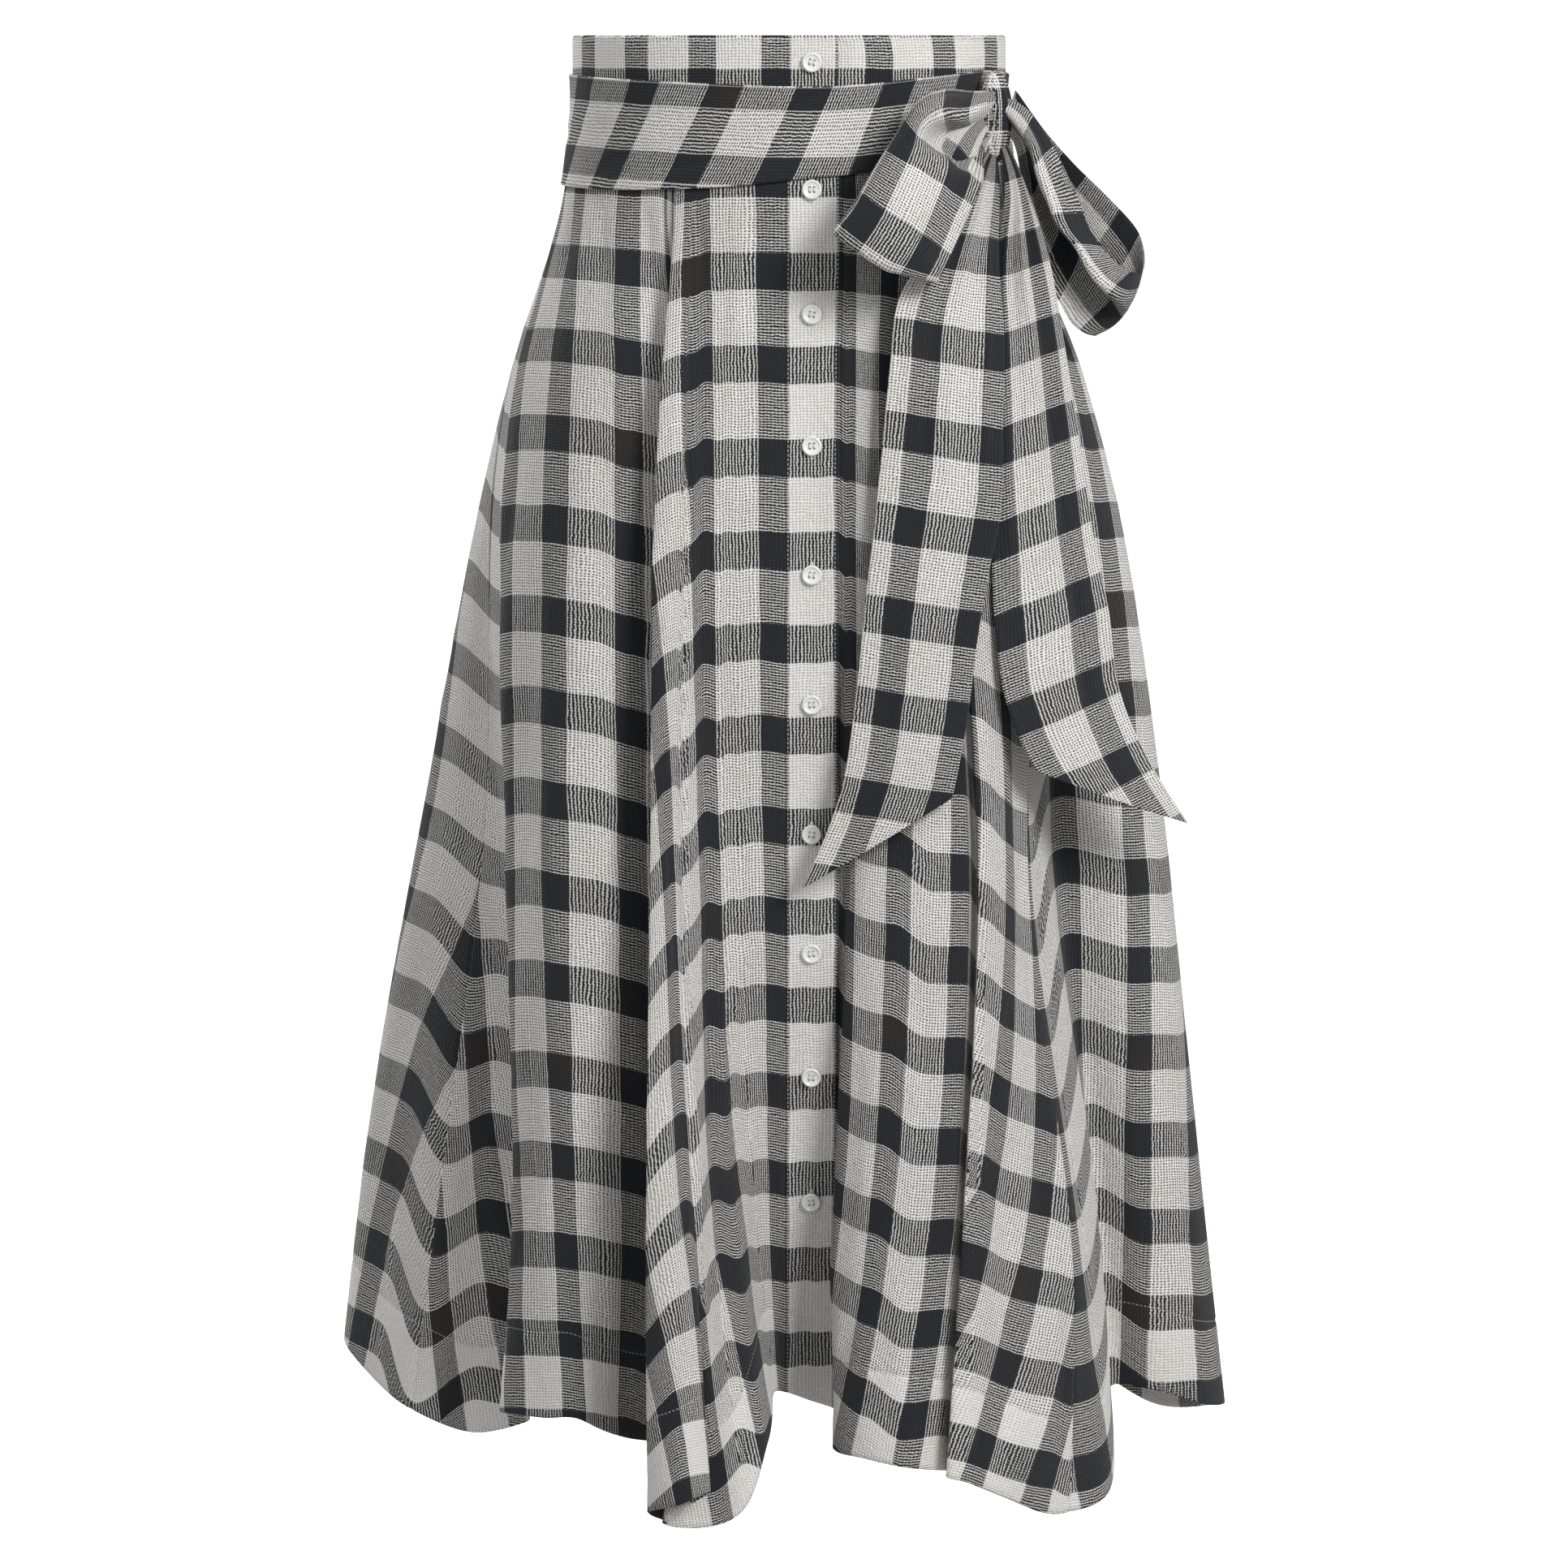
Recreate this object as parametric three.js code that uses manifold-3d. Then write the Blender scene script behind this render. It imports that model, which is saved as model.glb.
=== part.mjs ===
// Beach skirt: a button-front, A-line midi skirt of checked cotton gauze with a waistband and a wide
// sash tied in a bow. It keeps its worn form, hollow and open at the waist and the hem.
// Millimetres, +Z up. The front faces -Y, the wearer's right side is -X. The origin is the centre of
// the waistband ring at half its height.
import * as THREE from 'three';
import Module from 'manifold-3d';
import { mergeVertices } from 'three/addons/utils/BufferGeometryUtils.js';

const wasm = await Module();
wasm.setup();

// ---- Driving dimensions -------------------------------------------------------------------------
const SEAM = 0.3; // clearance kept between two pieces that meet
const CLOTH = 1.2; // wall of the single gauze, with its loft
const HEM_WALL = 2.0; // wall where the hem is turned up double
const HEM_DEPTH = 52; // depth of the turned hem

const WAIST = { halfWidth: 128, halfDepth: 95 }; // outside of the waistband
const BAND_HEIGHT = 44; // the waistband
const BAND_WALL = 2.4;
const SKIRT_TOP = -BAND_HEIGHT / 2 - SEAM; // where the panels hang from the waistband
const CINCH = { share: 0.058, halfWidth: 133.5, halfDepth: 99.5 }; // ring held in by the sash's lower edge

const BUTTON_BAND_WALL = 1.5;
const BUTTON_BAND_PROUD = 0.3; // how far the button band stands over the panel
const BUTTON = { radius: 5.75, height: 2.4, holeRadius: 0.8, holeSpacing: 1.25 };
const BUTTON_X = 13; // the row of buttons, which the closure puts a little off the middle
// Heights of the ten buttons: one on the waistband, nine down the button band.
const BUTTON_HEIGHTS = [7.5, -65, -136, -211, -285, -360, -436, -507, -582, -659];

const SASH_WALL = 1.2;
const SASH_CLEARANCE = 0.8; // air between the sash and what it wraps
const RIBBON_WALL = 1.4; // loops and tails of the bow
const KNOT = { bearing: 59, height: -24, halfAcross: 11, halfDeep: 9, halfTall: 27, clearance: 1.6 };

// ---- Colours ------------------------------------------------------------------------------------
const GAUZE = { color: 0x8f8d89, roughness: 0.95, metalness: 0 };
const SASH_GAUZE = { color: 0x7c7a77, roughness: 0.95, metalness: 0 };
const PEARL = { color: 0xeceae4, roughness: 0.3, metalness: 0 };

// ---- The skirt's fold lines ---------------------------------------------------------------------
// Each row is a line down the cloth, such as a fold's crest or the valley beside it. It starts on the
// waist at a bearing (degrees from the front, negative on the wearer's right) and passes the hip, the
// knee, the calf and the hem at the x, y given; drop is the hem's depth below the origin. The rows go
// round the skirt, from the button band over the wearer's right side and the back to the left side.
const LEVELS = [0, CINCH.share, 0.2, 0.56, 0.83, 1]; // waist, sash edge, hip, knee, calf, hem
const FOLDS = [
  // name            bearing  hip x,y         knee x,y      calf x,y        hem x,y,drop
  ['button band left edge', 12.9, 28.5, -112.5, 28.5, -121.5, 28, -104.5, 28, -89, 789],
  ['centre front', 6, 13, -112, 13, -122, 13, -103, 13, -88, 784],
  ['button band right edge', -1, -2.5, -113, -2.5, -123, -2.5, -105, -2.5, -93, 777],
  ['dip beside the band', -11.5, -27, -115, -27, -127, -21, -117, -8, -108, 773],
  ['lobe edge', -16, -38, -116, -37, -130, -30, -140, -12, -158, 789],
  ['lobe crest', -20.6, -49, -118, -49, -137, -42, -160, -26, -186, 822],
  ['crease', -23.3, -55, -120, -58, -144, -49, -169, -42, -190, 830],
  ['curl under', -24.3, -57.5, -120.5, -60.5, -146, -51.5, -172, -72, -192, 828],
  ['curl edge', -25.3, -60, -122, -63, -149, -54, -176, -45, -206, 805],
  ['ridge crest', -27, -65, -125, -71, -157, -67, -190, -61, -217, 809],
  ['ridge edge', -29.2, -74, -124, -80, -159, -82, -190, -82, -197, 820],
  ['pleat inside', -31, -56, -111, -59, -137, -60, -158, -48, -165, 836],
  ['pleat under', -33, -69, -105, -72, -122, -72, -123, -74, -118, 803],
  ['side front 1', -42, -93, -108, -91, -128, -90, -130, -95, -126, 796],
  ['side front 2', -54, -111, -104, -113, -137, -111, -141, -110, -140, 787],
  ['side front 3', -66, -133, -88, -136, -132, -132, -142, -125, -144, 779],
  ['side bend', -75, -150, -66, -152, -113, -148, -131, -144, -136, 781],
  ['side edge', -82, -160, -44, -167, -92, -163, -106, -172, -108, 785],
  ['side valley', -86.5, -163, -28, -164, -62, -159, -68, -158, -68, 802],
  ['side flank', -90, -165, -16, -172, -48, -181, -60, -190, -58, 812],
  ['right side seam', -94, -166, -4, -183, -34, -211, -46, -229, -46, 801],
  ['right tip front', -99, -166.5, 10, -208, -6, -237, -12, -254, -12, 792],
  ['right tip', -106, -165, 30, -223, 24, -260, 28, -276, 28, 776],
  ['back fold 1', -117, -150, 66, -194, 94, -221, 100, -238, 92, 788],
  ['back valley 1', -129, -126, 88, -164, 104, -183, 104, -196, 106, 795],
  ['back fold 2', -139, -104, 101, -138, 126, -152, 142, -158, 148, 806],
  ['back valley 2', -149, -78, 110, -102, 124, -108, 128, -114, 136, 802],
  ['back fold 3', -158, -54, 116, -72, 148, -80, 174, -80, 186, 815],
  ['back fold 3 far side', -167, -30, 118, -42, 147, -44, 171, -44, 184, 813],
  ['back valley 3', -178, -4, 118, -8, 128, -8, 134, -8, 146, 802],
  ['back fold 4', -189, 22, 118, 28, 140, 32, 155, 34, 166, 808],
  ['back fold 5', -199, 48, 116, 60, 150, 68, 175, 72, 188, 815],
  ['back valley 5', -209, 74, 110, 94, 128, 100, 137, 106, 148, 803],
  ['back fold 6', -220, 102, 101, 128, 128, 142, 145, 148, 152, 806],
  ['back valley 6', -231, 128, 86, 156, 106, 170, 109, 178, 112, 806],
  ['back fold 7', -244, 156, 62, 201, 84, 222, 82, 232, 80, 832],
  ['left tip', -257, 176, 26, 232, 32, 255, 34, 271, 38, 820],
  ['left tip front', -264, 176, 6, 220, -8, 242, -10, 255, -8, 808],
  ['left face', -269, 171, -10, 196, -26, 211, -26, 222, -26, 794],
  ['left valley', -274, 163, -30, 160, -32, 186, -24, 196, -24, 793],
  ['left tuck', -278.5, 157, -44, 154, -52, 186, -46, 197, -46, 813],
  ['big fold edge', -283, 148, -62, 146, -74, 178, -78, 192, -84, 842],
  ['left side seam', -287, 143, -70, 142, -85, 169, -96, 167, -110, 846],
  ['big fold bend', -294, 132, -82, 136, -95, 157, -107, 153, -126, 842],
  ['big fold crest', -304, 114, -95, 126, -112, 128, -126, 125, -148, 825],
  ['big fold flank', -313.5, 98, -103, 115, -123, 110, -138, 103, -160, 813],
  ['groove far edge', -317.8, 92, -105.5, 110, -125, 101, -142, 92, -161, 810],
  ['groove', -319, 88.5, -106, 109, -115, 104, -126, 100, -138, 812],
  ['groove near edge', -320.3, 85, -107.5, 104, -121, 97, -134, 89, -149, 809],
  ['inner fold flank', -330, 67, -110, 84, -128, 71, -141, 64, -158, 804],
  ['inner fold crest', -338, 50, -113, 60, -130, 49, -141, 43, -152, 801],
  ['inner fold edge', -344.4, 36, -113.5, 35, -126, 26, -126, 26, -134, 801],
  ['dip under the fold', -345.8, 32.5, -112.5, 32, -120.5, 32.5, -105.5, 36, -93, 793],
].map(([name, bearing, ...v]) => ({
  name,
  bearing: THREE.MathUtils.degToRad(bearing),
  passes: [[v[0], v[1]], [v[2], v[3]], [v[4], v[5]], [v[6], v[7]]],
  drop: v[8],
}));
const foldIndex = (name) => FOLDS.findIndex((fold) => fold.name === name);

// Point of an ellipse at a bearing from the front.
const onEllipse = ({ halfWidth, halfDepth }, bearing) =>
  [halfWidth * Math.sin(bearing), -halfDepth * Math.cos(bearing)];

// Smooth value at x through knots: cubic pieces whose slope at a knot is the weighted mean of the
// slopes on both sides.
function through(knots, values, x) {
  const last = knots.length - 1;
  const gap = (i) => knots[i + 1] - knots[i];
  const slope = (i) => (values[i + 1] - values[i]) / gap(i);
  const inner = (i) => (slope(i - 1) * gap(i) + slope(i) * gap(i - 1)) / (gap(i - 1) + gap(i));
  const tangent = (i) => {
    if (i === 0) return 1.5 * slope(0) - 0.5 * inner(1);
    if (i === last) return 1.5 * slope(last - 1) - 0.5 * inner(last - 1);
    return inner(i);
  };
  let k = 0;
  while (k < last - 1 && x >= knots[k + 1]) k += 1;
  const w = (x - knots[k]) / gap(k);
  return hermite(values[k], values[k + 1], tangent(k) * gap(k), tangent(k + 1) * gap(k), w);
}

function hermite(a, b, slopeA, slopeB, w) {
  const w2 = w * w;
  const w3 = w2 * w;
  return (2 * w3 - 3 * w2 + 1) * a + (w3 - 2 * w2 + w) * slopeA
    + (-2 * w3 + 3 * w2) * b + (w3 - w2) * slopeB;
}

// Where a fold line is, a share t of the way from the waist to the hem.
function foldPoint(fold, t) {
  const passes = [onEllipse(WAIST, fold.bearing), onEllipse(CINCH, fold.bearing), ...fold.passes];
  return [
    through(LEVELS, passes.map((p) => p[0]), t),
    through(LEVELS, passes.map((p) => p[1]), t),
    SKIRT_TOP - (fold.drop + SKIRT_TOP) * t,
  ];
}

// The closed curve round the skirt at t: a smooth curve through all fold lines. place is a fold's
// index plus a share of the way to the next fold.
const ringCache = new Map();
function ring(t) {
  if (!ringCache.has(t)) {
    const points = FOLDS.map((fold) => foldPoint(fold, t));
    const count = points.length;
    const reach = points.map((p, i) => {
      const q = points[(i + 1) % count];
      return Math.max(Math.hypot(q[0] - p[0], q[1] - p[1]), 0.8) ** 0.75;
    });
    const tangents = points.map((p, i) => {
      const next = points[(i + 1) % count];
      const before = points[(i + count - 1) % count];
      const ahead = reach[i];
      const behind = reach[(i + count - 1) % count];
      return p.map((value, axis) => ((next[axis] - value) / ahead * behind
        + (value - before[axis]) / behind * ahead) / (ahead + behind));
    });
    ringCache.set(t, { points, tangents, reach, count });
  }
  return ringCache.get(t);
}

function ringPoint(t, place) {
  const { points, tangents, reach, count } = ring(t);
  const i = Math.floor(place) % count;
  const j = (i + 1) % count;
  const w = place - Math.floor(place);
  return points[i].map((value, axis) => hermite(value, points[j][axis],
    tangents[i][axis] * reach[i], tangents[j][axis] * reach[i], w));
}

// The direction along the ring, level, and the outward direction square to it.
function ringFrame(t, place) {
  const step = 0.02;
  const a = ringPoint(t, place - step + FOLDS.length);
  const b = ringPoint(t, place + step + FOLDS.length);
  const length = Math.hypot(b[0] - a[0], b[1] - a[1]);
  const along = [(b[0] - a[0]) / length, (b[1] - a[1]) / length];
  return { along, out: [-along[1], along[0]] };
}

// ---- Walls --------------------------------------------------------------------------------------
// A closed wall between two grids of points, rows by columns. The outer grid lies on the side of the
// cross product of a step along a row with a step down a column. A wrapped wall closes on itself.
function wall(outer, inner, wrapped = false) {
  const rows = outer.length;
  const columns = outer[0].length;
  const positions = [...outer.flat(), ...inner.flat()].flat();
  const at = (i, j, inside) => (inside ? rows * columns : 0) + i * columns + (j % columns);
  const index = [];
  const quad = (a, b, c, d) => index.push(a, b, c, a, c, d);
  const spans = wrapped ? columns : columns - 1;
  for (let j = 0; j < spans; j += 1) {
    for (let i = 0; i < rows - 1; i += 1) {
      quad(at(i, j), at(i, j + 1), at(i + 1, j + 1), at(i + 1, j));
      quad(at(i, j, true), at(i + 1, j, true), at(i + 1, j + 1, true), at(i, j + 1, true));
    }
    quad(at(0, j + 1), at(0, j), at(0, j, true), at(0, j + 1, true));
    quad(at(rows - 1, j), at(rows - 1, j + 1), at(rows - 1, j + 1, true), at(rows - 1, j, true));
  }
  if (!wrapped) {
    for (let i = 0; i < rows - 1; i += 1) {
      quad(at(i, 0), at(i + 1, 0), at(i + 1, 0, true), at(i, 0, true));
      quad(at(i + 1, spans), at(i, spans), at(i, spans, true), at(i + 1, spans, true));
    }
  }
  const geometry = new THREE.BufferGeometry();
  geometry.setAttribute('position', new THREE.Float32BufferAttribute(positions, 3));
  geometry.setIndex(index);
  geometry.computeVertexNormals();
  return geometry;
}

const group = new THREE.Group();
function add(name, geometry, finish) {
  const mesh = new THREE.Mesh(geometry, new THREE.MeshStandardMaterial({ ...finish, name }));
  mesh.name = name;
  group.add(mesh);
  return mesh;
}

// ---- Panels -------------------------------------------------------------------------------------
const hemShare = (depth) => 1 - depth / 780; // the panels are about 780 mm long
const PANEL_ROWS = [0, 0.03, CINCH.share, 0.09, 0.14, 0.2, 0.31, 0.43, 0.56, 0.69, 0.8, 0.88,
  hemShare(HEM_DEPTH + 5), hemShare(HEM_DEPTH - 5), 1];
const FACET = 15; // widest facet of a panel at its hem
const TURN = Math.PI / 5; // sharpest corner between two facets, roughly

// Places round the ring between two folds, closer where the hem runs long or turns sharply.
function placesBetween(from, to) {
  const places = [];
  for (let fold = from; fold < to; fold += 1) {
    const a = ringPoint(1, fold);
    const b = ringPoint(1, fold + 1);
    const turn = ringFrame(1, fold).along.reduce((sum, v, axis) =>
      sum + v * ringFrame(1, fold + 1).along[axis], 0);
    const byLength = Math.hypot(b[0] - a[0], b[1] - a[1]) / FACET;
    const byTurn = Math.acos(THREE.MathUtils.clamp(turn, -1, 1)) / TURN;
    const steps = Math.max(1, Math.min(5, Math.ceil(Math.max(byLength, byTurn))));
    for (let k = 0; k < steps; k += 1) places.push(fold + k / steps);
  }
  return [...places, to];
}

// A panel from one fold line to another. lift(place) moves its outer face outwards, thickness(t) is
// its wall, and half a seam's clearance is kept at both side edges.
function panel(from, to, lift, thickness) {
  const places = placesBetween(from, to);
  const face = (depth) => PANEL_ROWS.map((t) => places.map((place, j) => {
    const [x, y, z] = ringPoint(t, place);
    const { along, out } = ringFrame(t, place);
    const side = j === 0 ? SEAM / 2 : j === places.length - 1 ? -SEAM / 2 : 0;
    const outwards = lift(place) - depth(t);
    return [x + along[0] * side + out[0] * outwards, y + along[1] * side + out[1] * outwards, z];
  }));
  return wall(face(() => 0), face(thickness));
}

const flush = () => 0;
const hemmedWall = (t) => (t > hemShare(HEM_DEPTH) ? HEM_WALL : CLOTH);
const ROUND = FOLDS.length;
const bandLeft = foldIndex('button band left edge');
const bandRight = foldIndex('button band right edge');
const rightSeam = foldIndex('right side seam');
const leftSeam = foldIndex('left side seam');
const dip = foldIndex('dip under the fold');
// The left front runs on under the button band, stepped in to clear it.
const UNDERLAP = BUTTON_BAND_WALL - BUTTON_BAND_PROUD + SEAM;
const underlap = (place) => -UNDERLAP * THREE.MathUtils.clamp((place - dip) / (ROUND - dip), 0, 1);

add('front_right_panel', panel(bandRight, rightSeam, flush, hemmedWall), GAUZE);
add('back_panel', panel(rightSeam, leftSeam, flush, hemmedWall), GAUZE);
add('front_left_panel', panel(leftSeam, ROUND + bandRight, underlap, hemmedWall), GAUZE);
add('button_band', panel(bandLeft, bandRight, () => BUTTON_BAND_PROUD, () => BUTTON_BAND_WALL), GAUZE);

// ---- Waistband ----------------------------------------------------------------------------------
// A band once round the waist. Its button end lies on top and the other end tucks in under it.
function waistband() {
  const lapEnd = THREE.MathUtils.degToRad(12.3);
  const tuckStart = THREE.MathUtils.degToRad(18);
  const tuckEnd = THREE.MathUtils.degToRad(-7);
  const tuckDepth = BAND_WALL + SEAM;
  const full = 2 * Math.PI;
  const turns = [];
  const steps = 54;
  for (let k = 0; k <= steps; k += 1) turns.push((full + lapEnd - tuckStart) * k / steps);
  const bearings = turns.map((turn) => lapEnd - turn);
  for (const bearing of [lapEnd + 0.03, lapEnd - 0.06, (lapEnd + tuckEnd) / 2, tuckEnd]) {
    bearings.push(bearing - full);
  }
  const inset = (bearing) => tuckDepth
    * THREE.MathUtils.smoothstep(-bearing - full, -tuckStart, -lapEnd - 0.03);
  const face = (depth) => [BAND_HEIGHT / 2, 0, -BAND_HEIGHT / 2].map((z) => bearings.map((b) => {
    const shrink = depth + inset(b);
    const [x, y] = onEllipse({
      halfWidth: WAIST.halfWidth - shrink,
      halfDepth: WAIST.halfDepth - shrink,
    }, b);
    return [x, y, z];
  }));
  return wall(face(0), face(BAND_WALL));
}
add('waistband', waistband(), GAUZE);

// ---- Sash ---------------------------------------------------------------------------------------
// Heights of the sash's edges round the waist; it narrows and rises towards the knot.
const SASH_EDGES = [
  // bearing, top, bottom
  [-180, -3, -64], [-130, -2, -64], [-90, -0.5, -64], [-40, -3.5, -65], [-12, -6, -62],
  [2, -6.8, -58.5], [14, -6.4, -56], [32, -3, -50], [48, 0, -45], [60, 2, -42], [76, 1, -46],
  [100, -1, -55], [135, -3, -62], [180, -3, -64],
].map(([bearing, top, bottom]) => ({ bearing, top, bottom }));

// Half width and half depth of what the sash wraps, at a height.
function wrapped(z) {
  const share = Math.max(0, SKIRT_TOP - z) / ((780 + SKIRT_TOP) * CINCH.share);
  return {
    halfWidth: WAIST.halfWidth + (CINCH.halfWidth - WAIST.halfWidth) * share,
    halfDepth: WAIST.halfDepth + (CINCH.halfDepth - WAIST.halfDepth) * share,
  };
}

function sashPoint(bearingDegrees, down, depth) {
  const knots = SASH_EDGES.map((edge) => edge.bearing);
  const top = through(knots, SASH_EDGES.map((edge) => edge.top), bearingDegrees);
  const bottom = through(knots, SASH_EDGES.map((edge) => edge.bottom), bearingDegrees);
  const z = top + (bottom - top) * down;
  const { halfWidth, halfDepth } = wrapped(z);
  const out = SASH_CLEARANCE + SASH_WALL - depth;
  const [x, y] = onEllipse({ halfWidth: halfWidth + out, halfDepth: halfDepth + out },
    THREE.MathUtils.degToRad(bearingDegrees));
  return [x, y, z];
}

function sash() {
  const columns = 60;
  const rows = [0, 0.33, 0.67, 1];
  const face = (depth) => rows.map((down) => Array.from({ length: columns }, (_, k) =>
    sashPoint(180 - 360 * k / columns, down, depth)));
  return wall(face(0), face(SASH_WALL), true);
}
add('sash', sash(), SASH_GAUZE);

// ---- Bow ----------------------------------------------------------------------------------------
// The knot is a band pulled tight round the sash: an upright, flattened ball.
const knotBearing = THREE.MathUtils.degToRad(KNOT.bearing);
const [seatX, seatY] = sashPoint(KNOT.bearing, 0.5, 0);
const knotOut = new THREE.Vector2(Math.sin(knotBearing) / WAIST.halfWidth,
  -Math.cos(knotBearing) / WAIST.halfDepth).normalize();
const knotCentre = new THREE.Vector3(seatX + knotOut.x * (KNOT.halfDeep + KNOT.clearance),
  seatY + knotOut.y * (KNOT.halfDeep + KNOT.clearance), KNOT.height);

function knot(grow) {
  const ball = new THREE.SphereGeometry(1, 18, 12);
  ball.rotateX(Math.PI / 2);
  ball.scale(KNOT.halfDeep + grow, KNOT.halfAcross + grow, KNOT.halfTall + grow);
  ball.rotateZ(Math.atan2(knotOut.y, knotOut.x));
  ball.translate(knotCentre.x, knotCentre.y, knotCentre.z);
  return ball;
}

// A closed geometry as a manifold solid, and back.
function solid(geometry) {
  const bare = geometry.clone();
  bare.deleteAttribute('normal');
  bare.deleteAttribute('uv');
  const merged = mergeVertices(bare, 1e-4);
  return new wasm.Manifold(new wasm.Mesh({
    numProp: 3,
    vertProperties: new Float32Array(merged.attributes.position.array),
    triVerts: new Uint32Array(merged.index.array),
  }));
}

function geometryOf(manifold) {
  const { vertProperties, triVerts } = manifold.getMesh();
  const geometry = new THREE.BufferGeometry();
  geometry.setAttribute('position', new THREE.BufferAttribute(vertProperties, 3));
  geometry.setIndex(new THREE.BufferAttribute(triVerts, 1));
  geometry.computeVertexNormals();
  return geometry;
}

// A ribbon of cloth. Each row has one point, x, y, z, on each of a few lines that run along the ribbon,
// from its first edge to its last; places says where those lines lie across it, 0 to 1. The ribbon
// starts or ends inside the knot, which is cut away from it.
function ribbon(rows, places, steps, across) {
  const knots = rows.map((_, i) => i);
  const end = rows.length - 1;
  const point = (u, s) => new THREE.Vector3(...[0, 1, 2].map((axis) =>
    through(places, places.map((_, line) => through(knots, rows.map((row) => row[3 * line + axis]), u)), s)));
  const nudge = 0.03;
  const face = (offset) => Array.from({ length: steps + 1 }, (_, i) => {
    const u = end * i / steps;
    return Array.from({ length: across + 1 }, (_unused, j) => {
      const s = j / across;
      const side = point(u, Math.min(s + nudge, 1)).sub(point(u, Math.max(s - nudge, 0)));
      const ahead = point(Math.min(u + nudge, end), s).sub(point(Math.max(u - nudge, 0), s));
      return point(u, s).addScaledVector(side.cross(ahead).normalize(), offset).toArray();
    });
  });
  const cloth = wall(face(RIBBON_WALL / 2), face(-RIBBON_WALL / 2));
  return geometryOf(solid(cloth).subtract(solid(knot(SEAM))));
}

// A loop's four lines are its outer edge, the ridge of the fold that the knot presses into it, the
// hollow under that ridge, and its inner edge. A tail's three are its left edge, middle and right edge.
const LOOP_LINES = [0, 0.375, 0.5, 1];
const TAIL_LINES = [0, 0.5, 1];
// Left loop: out from the knot, down over its front face to the bend, and back up behind.
const LEFT_LOOP = [
  // outer edge, ridge, hollow, inner edge
  [120, -62, -9, 119, -66, -16, 120, -58, -21, 120, -62, -31],
  [106, -68, -9, 102, -86, -26, 104, -71, -30, 113, -79, -44],
  [90, -84, -8, 89, -105, -25, 91, -85, -31, 112, -90, -53],
  [74, -103, -14, 78, -120, -29, 82, -103, -36, 111, -99, -60],
  [61, -120, -32, 71, -131, -39, 78, -125, -43, 109, -108, -64],
  [48, -133, -52, 60, -142, -59, 68, -141, -64, 99, -121, -86],
  [36, -142, -72, 48, -150, -81, 57, -151, -87, 89, -130, -107],
  [25, -144, -86, 38, -150, -97, 47, -150, -103, 85, -131, -116],
  [27, -133, -85, 40, -137, -95, 50, -137, -101, 86, -120, -114],
  [39, -121, -72, 50, -120, -81, 58, -119, -86, 89, -113, -104],
  [55, -106, -49, 65, -103, -58, 72, -102, -61, 97, -97, -80],
  [71, -92, -30, 81, -90, -36, 87, -88, -39, 105, -85, -56],
  [90, -77, -18, 97, -76, -23, 102, -75, -27, 111, -74, -38],
  [118, -61, -15, 118, -61, -18, 118, -60, -21, 118, -60, -27],
];
// Right loop: over the side and down to its bend, and back up behind, on the body's side.
const RIGHT_LOOP = [
  // outer edge, ridge, hollow, inner edge
  [122, -58, -12, 121, -60, -17, 122, -58, -20, 121, -58, -25],
  [137, -58, -19, 133, -66, -31, 135, -60, -34, 131, -57, -40],
  [148, -62, -33, 140, -72, -45, 142, -62, -49, 135, -59, -60],
  [156, -63, -47, 144, -75, -60, 147, -63, -64, 138, -62, -83],
  [167, -64, -70, 150, -77, -74, 154, -63, -77, 144, -62, -102],
  [174, -64, -88, 156, -77, -87, 161, -62, -89, 151, -60, -119],
  [183, -62, -101, 167, -74, -100, 171, -60, -102, 159, -57, -133],
  [194, -58, -111, 178, -69, -118, 182, -56, -119, 166, -50, -144],
  [203, -50, -115, 192, -59, -132, 193, -49, -134, 174, -42, -150],
  [208, -36, -113, 201, -42, -133, 197, -36, -140, 181, -30, -152],
  [209, -24, -102, 200, -24, -125, 196, -21, -132, 180, -18, -150],
  [204, -18, -89, 192, -14, -110, 189, -12, -115, 173, -9, -135],
  [185, -24, -69, 174, -18, -87, 171, -16, -91, 159, -12, -108],
  [167, -32, -52, 158, -26, -65, 155, -24, -69, 148, -19, -81],
  [149, -42, -32, 143, -38, -42, 142, -36, -45, 138, -32, -54],
  [132, -50, -9, 130, -50, -14, 129, -50, -16, 128, -50, -21],
];
const LEFT_TAIL = [
  // left edge, middle, right edge
  [117, -62, -43, 119, -61, -44, 121, -60, -44],
  [101, -79, -66, 112, -77, -68, 122, -71, -69],
  [83, -102, -95, 102, -98, -100, 121, -89, -105],
  [63, -120, -127, 94, -114, -140, 124, -101, -152],
  [58, -127, -164, 91, -123, -181, 123, -111, -198],
  [53, -131, -215, 88, -128, -230, 122, -119, -245],
  [49, -134, -256, 82, -133, -269, 115, -125, -282],
  [44, -137, -298, 76, -137, -311, 108, -128, -324],
  [39, -139, -349, 72, -139, -354, 104, -130, -359],
  [30, -141, -408, 64, -140, -401, 98, -133, -394],
  [8, -142, -464, 51, -141, -439, 94, -134, -413],
];
const RIGHT_TAIL = [
  // left edge, middle, right edge
  [122, -61, -40, 124, -60, -39, 126, -59, -38],
  [125, -75, -69, 131, -73, -66, 137, -68, -62],
  [119, -78, -110, 135, -80, -106, 150, -75, -102],
  [117, -94, -156, 139, -88, -155, 160, -74, -153],
  [116, -106, -217, 144, -94, -219, 171, -72, -220],
  [117, -112, -267, 148, -97, -269, 179, -71, -270],
  [119, -116, -310, 154, -98, -312, 188, -70, -313],
  [124, -118, -351, 159, -98, -354, 194, -70, -356],
  [134, -118, -381, 172, -97, -389, 210, -68, -396],
  [144, -115, -400, 190, -92, -420, 236, -60, -439],
];
add('bow_knot', knot(0), SASH_GAUZE);
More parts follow.
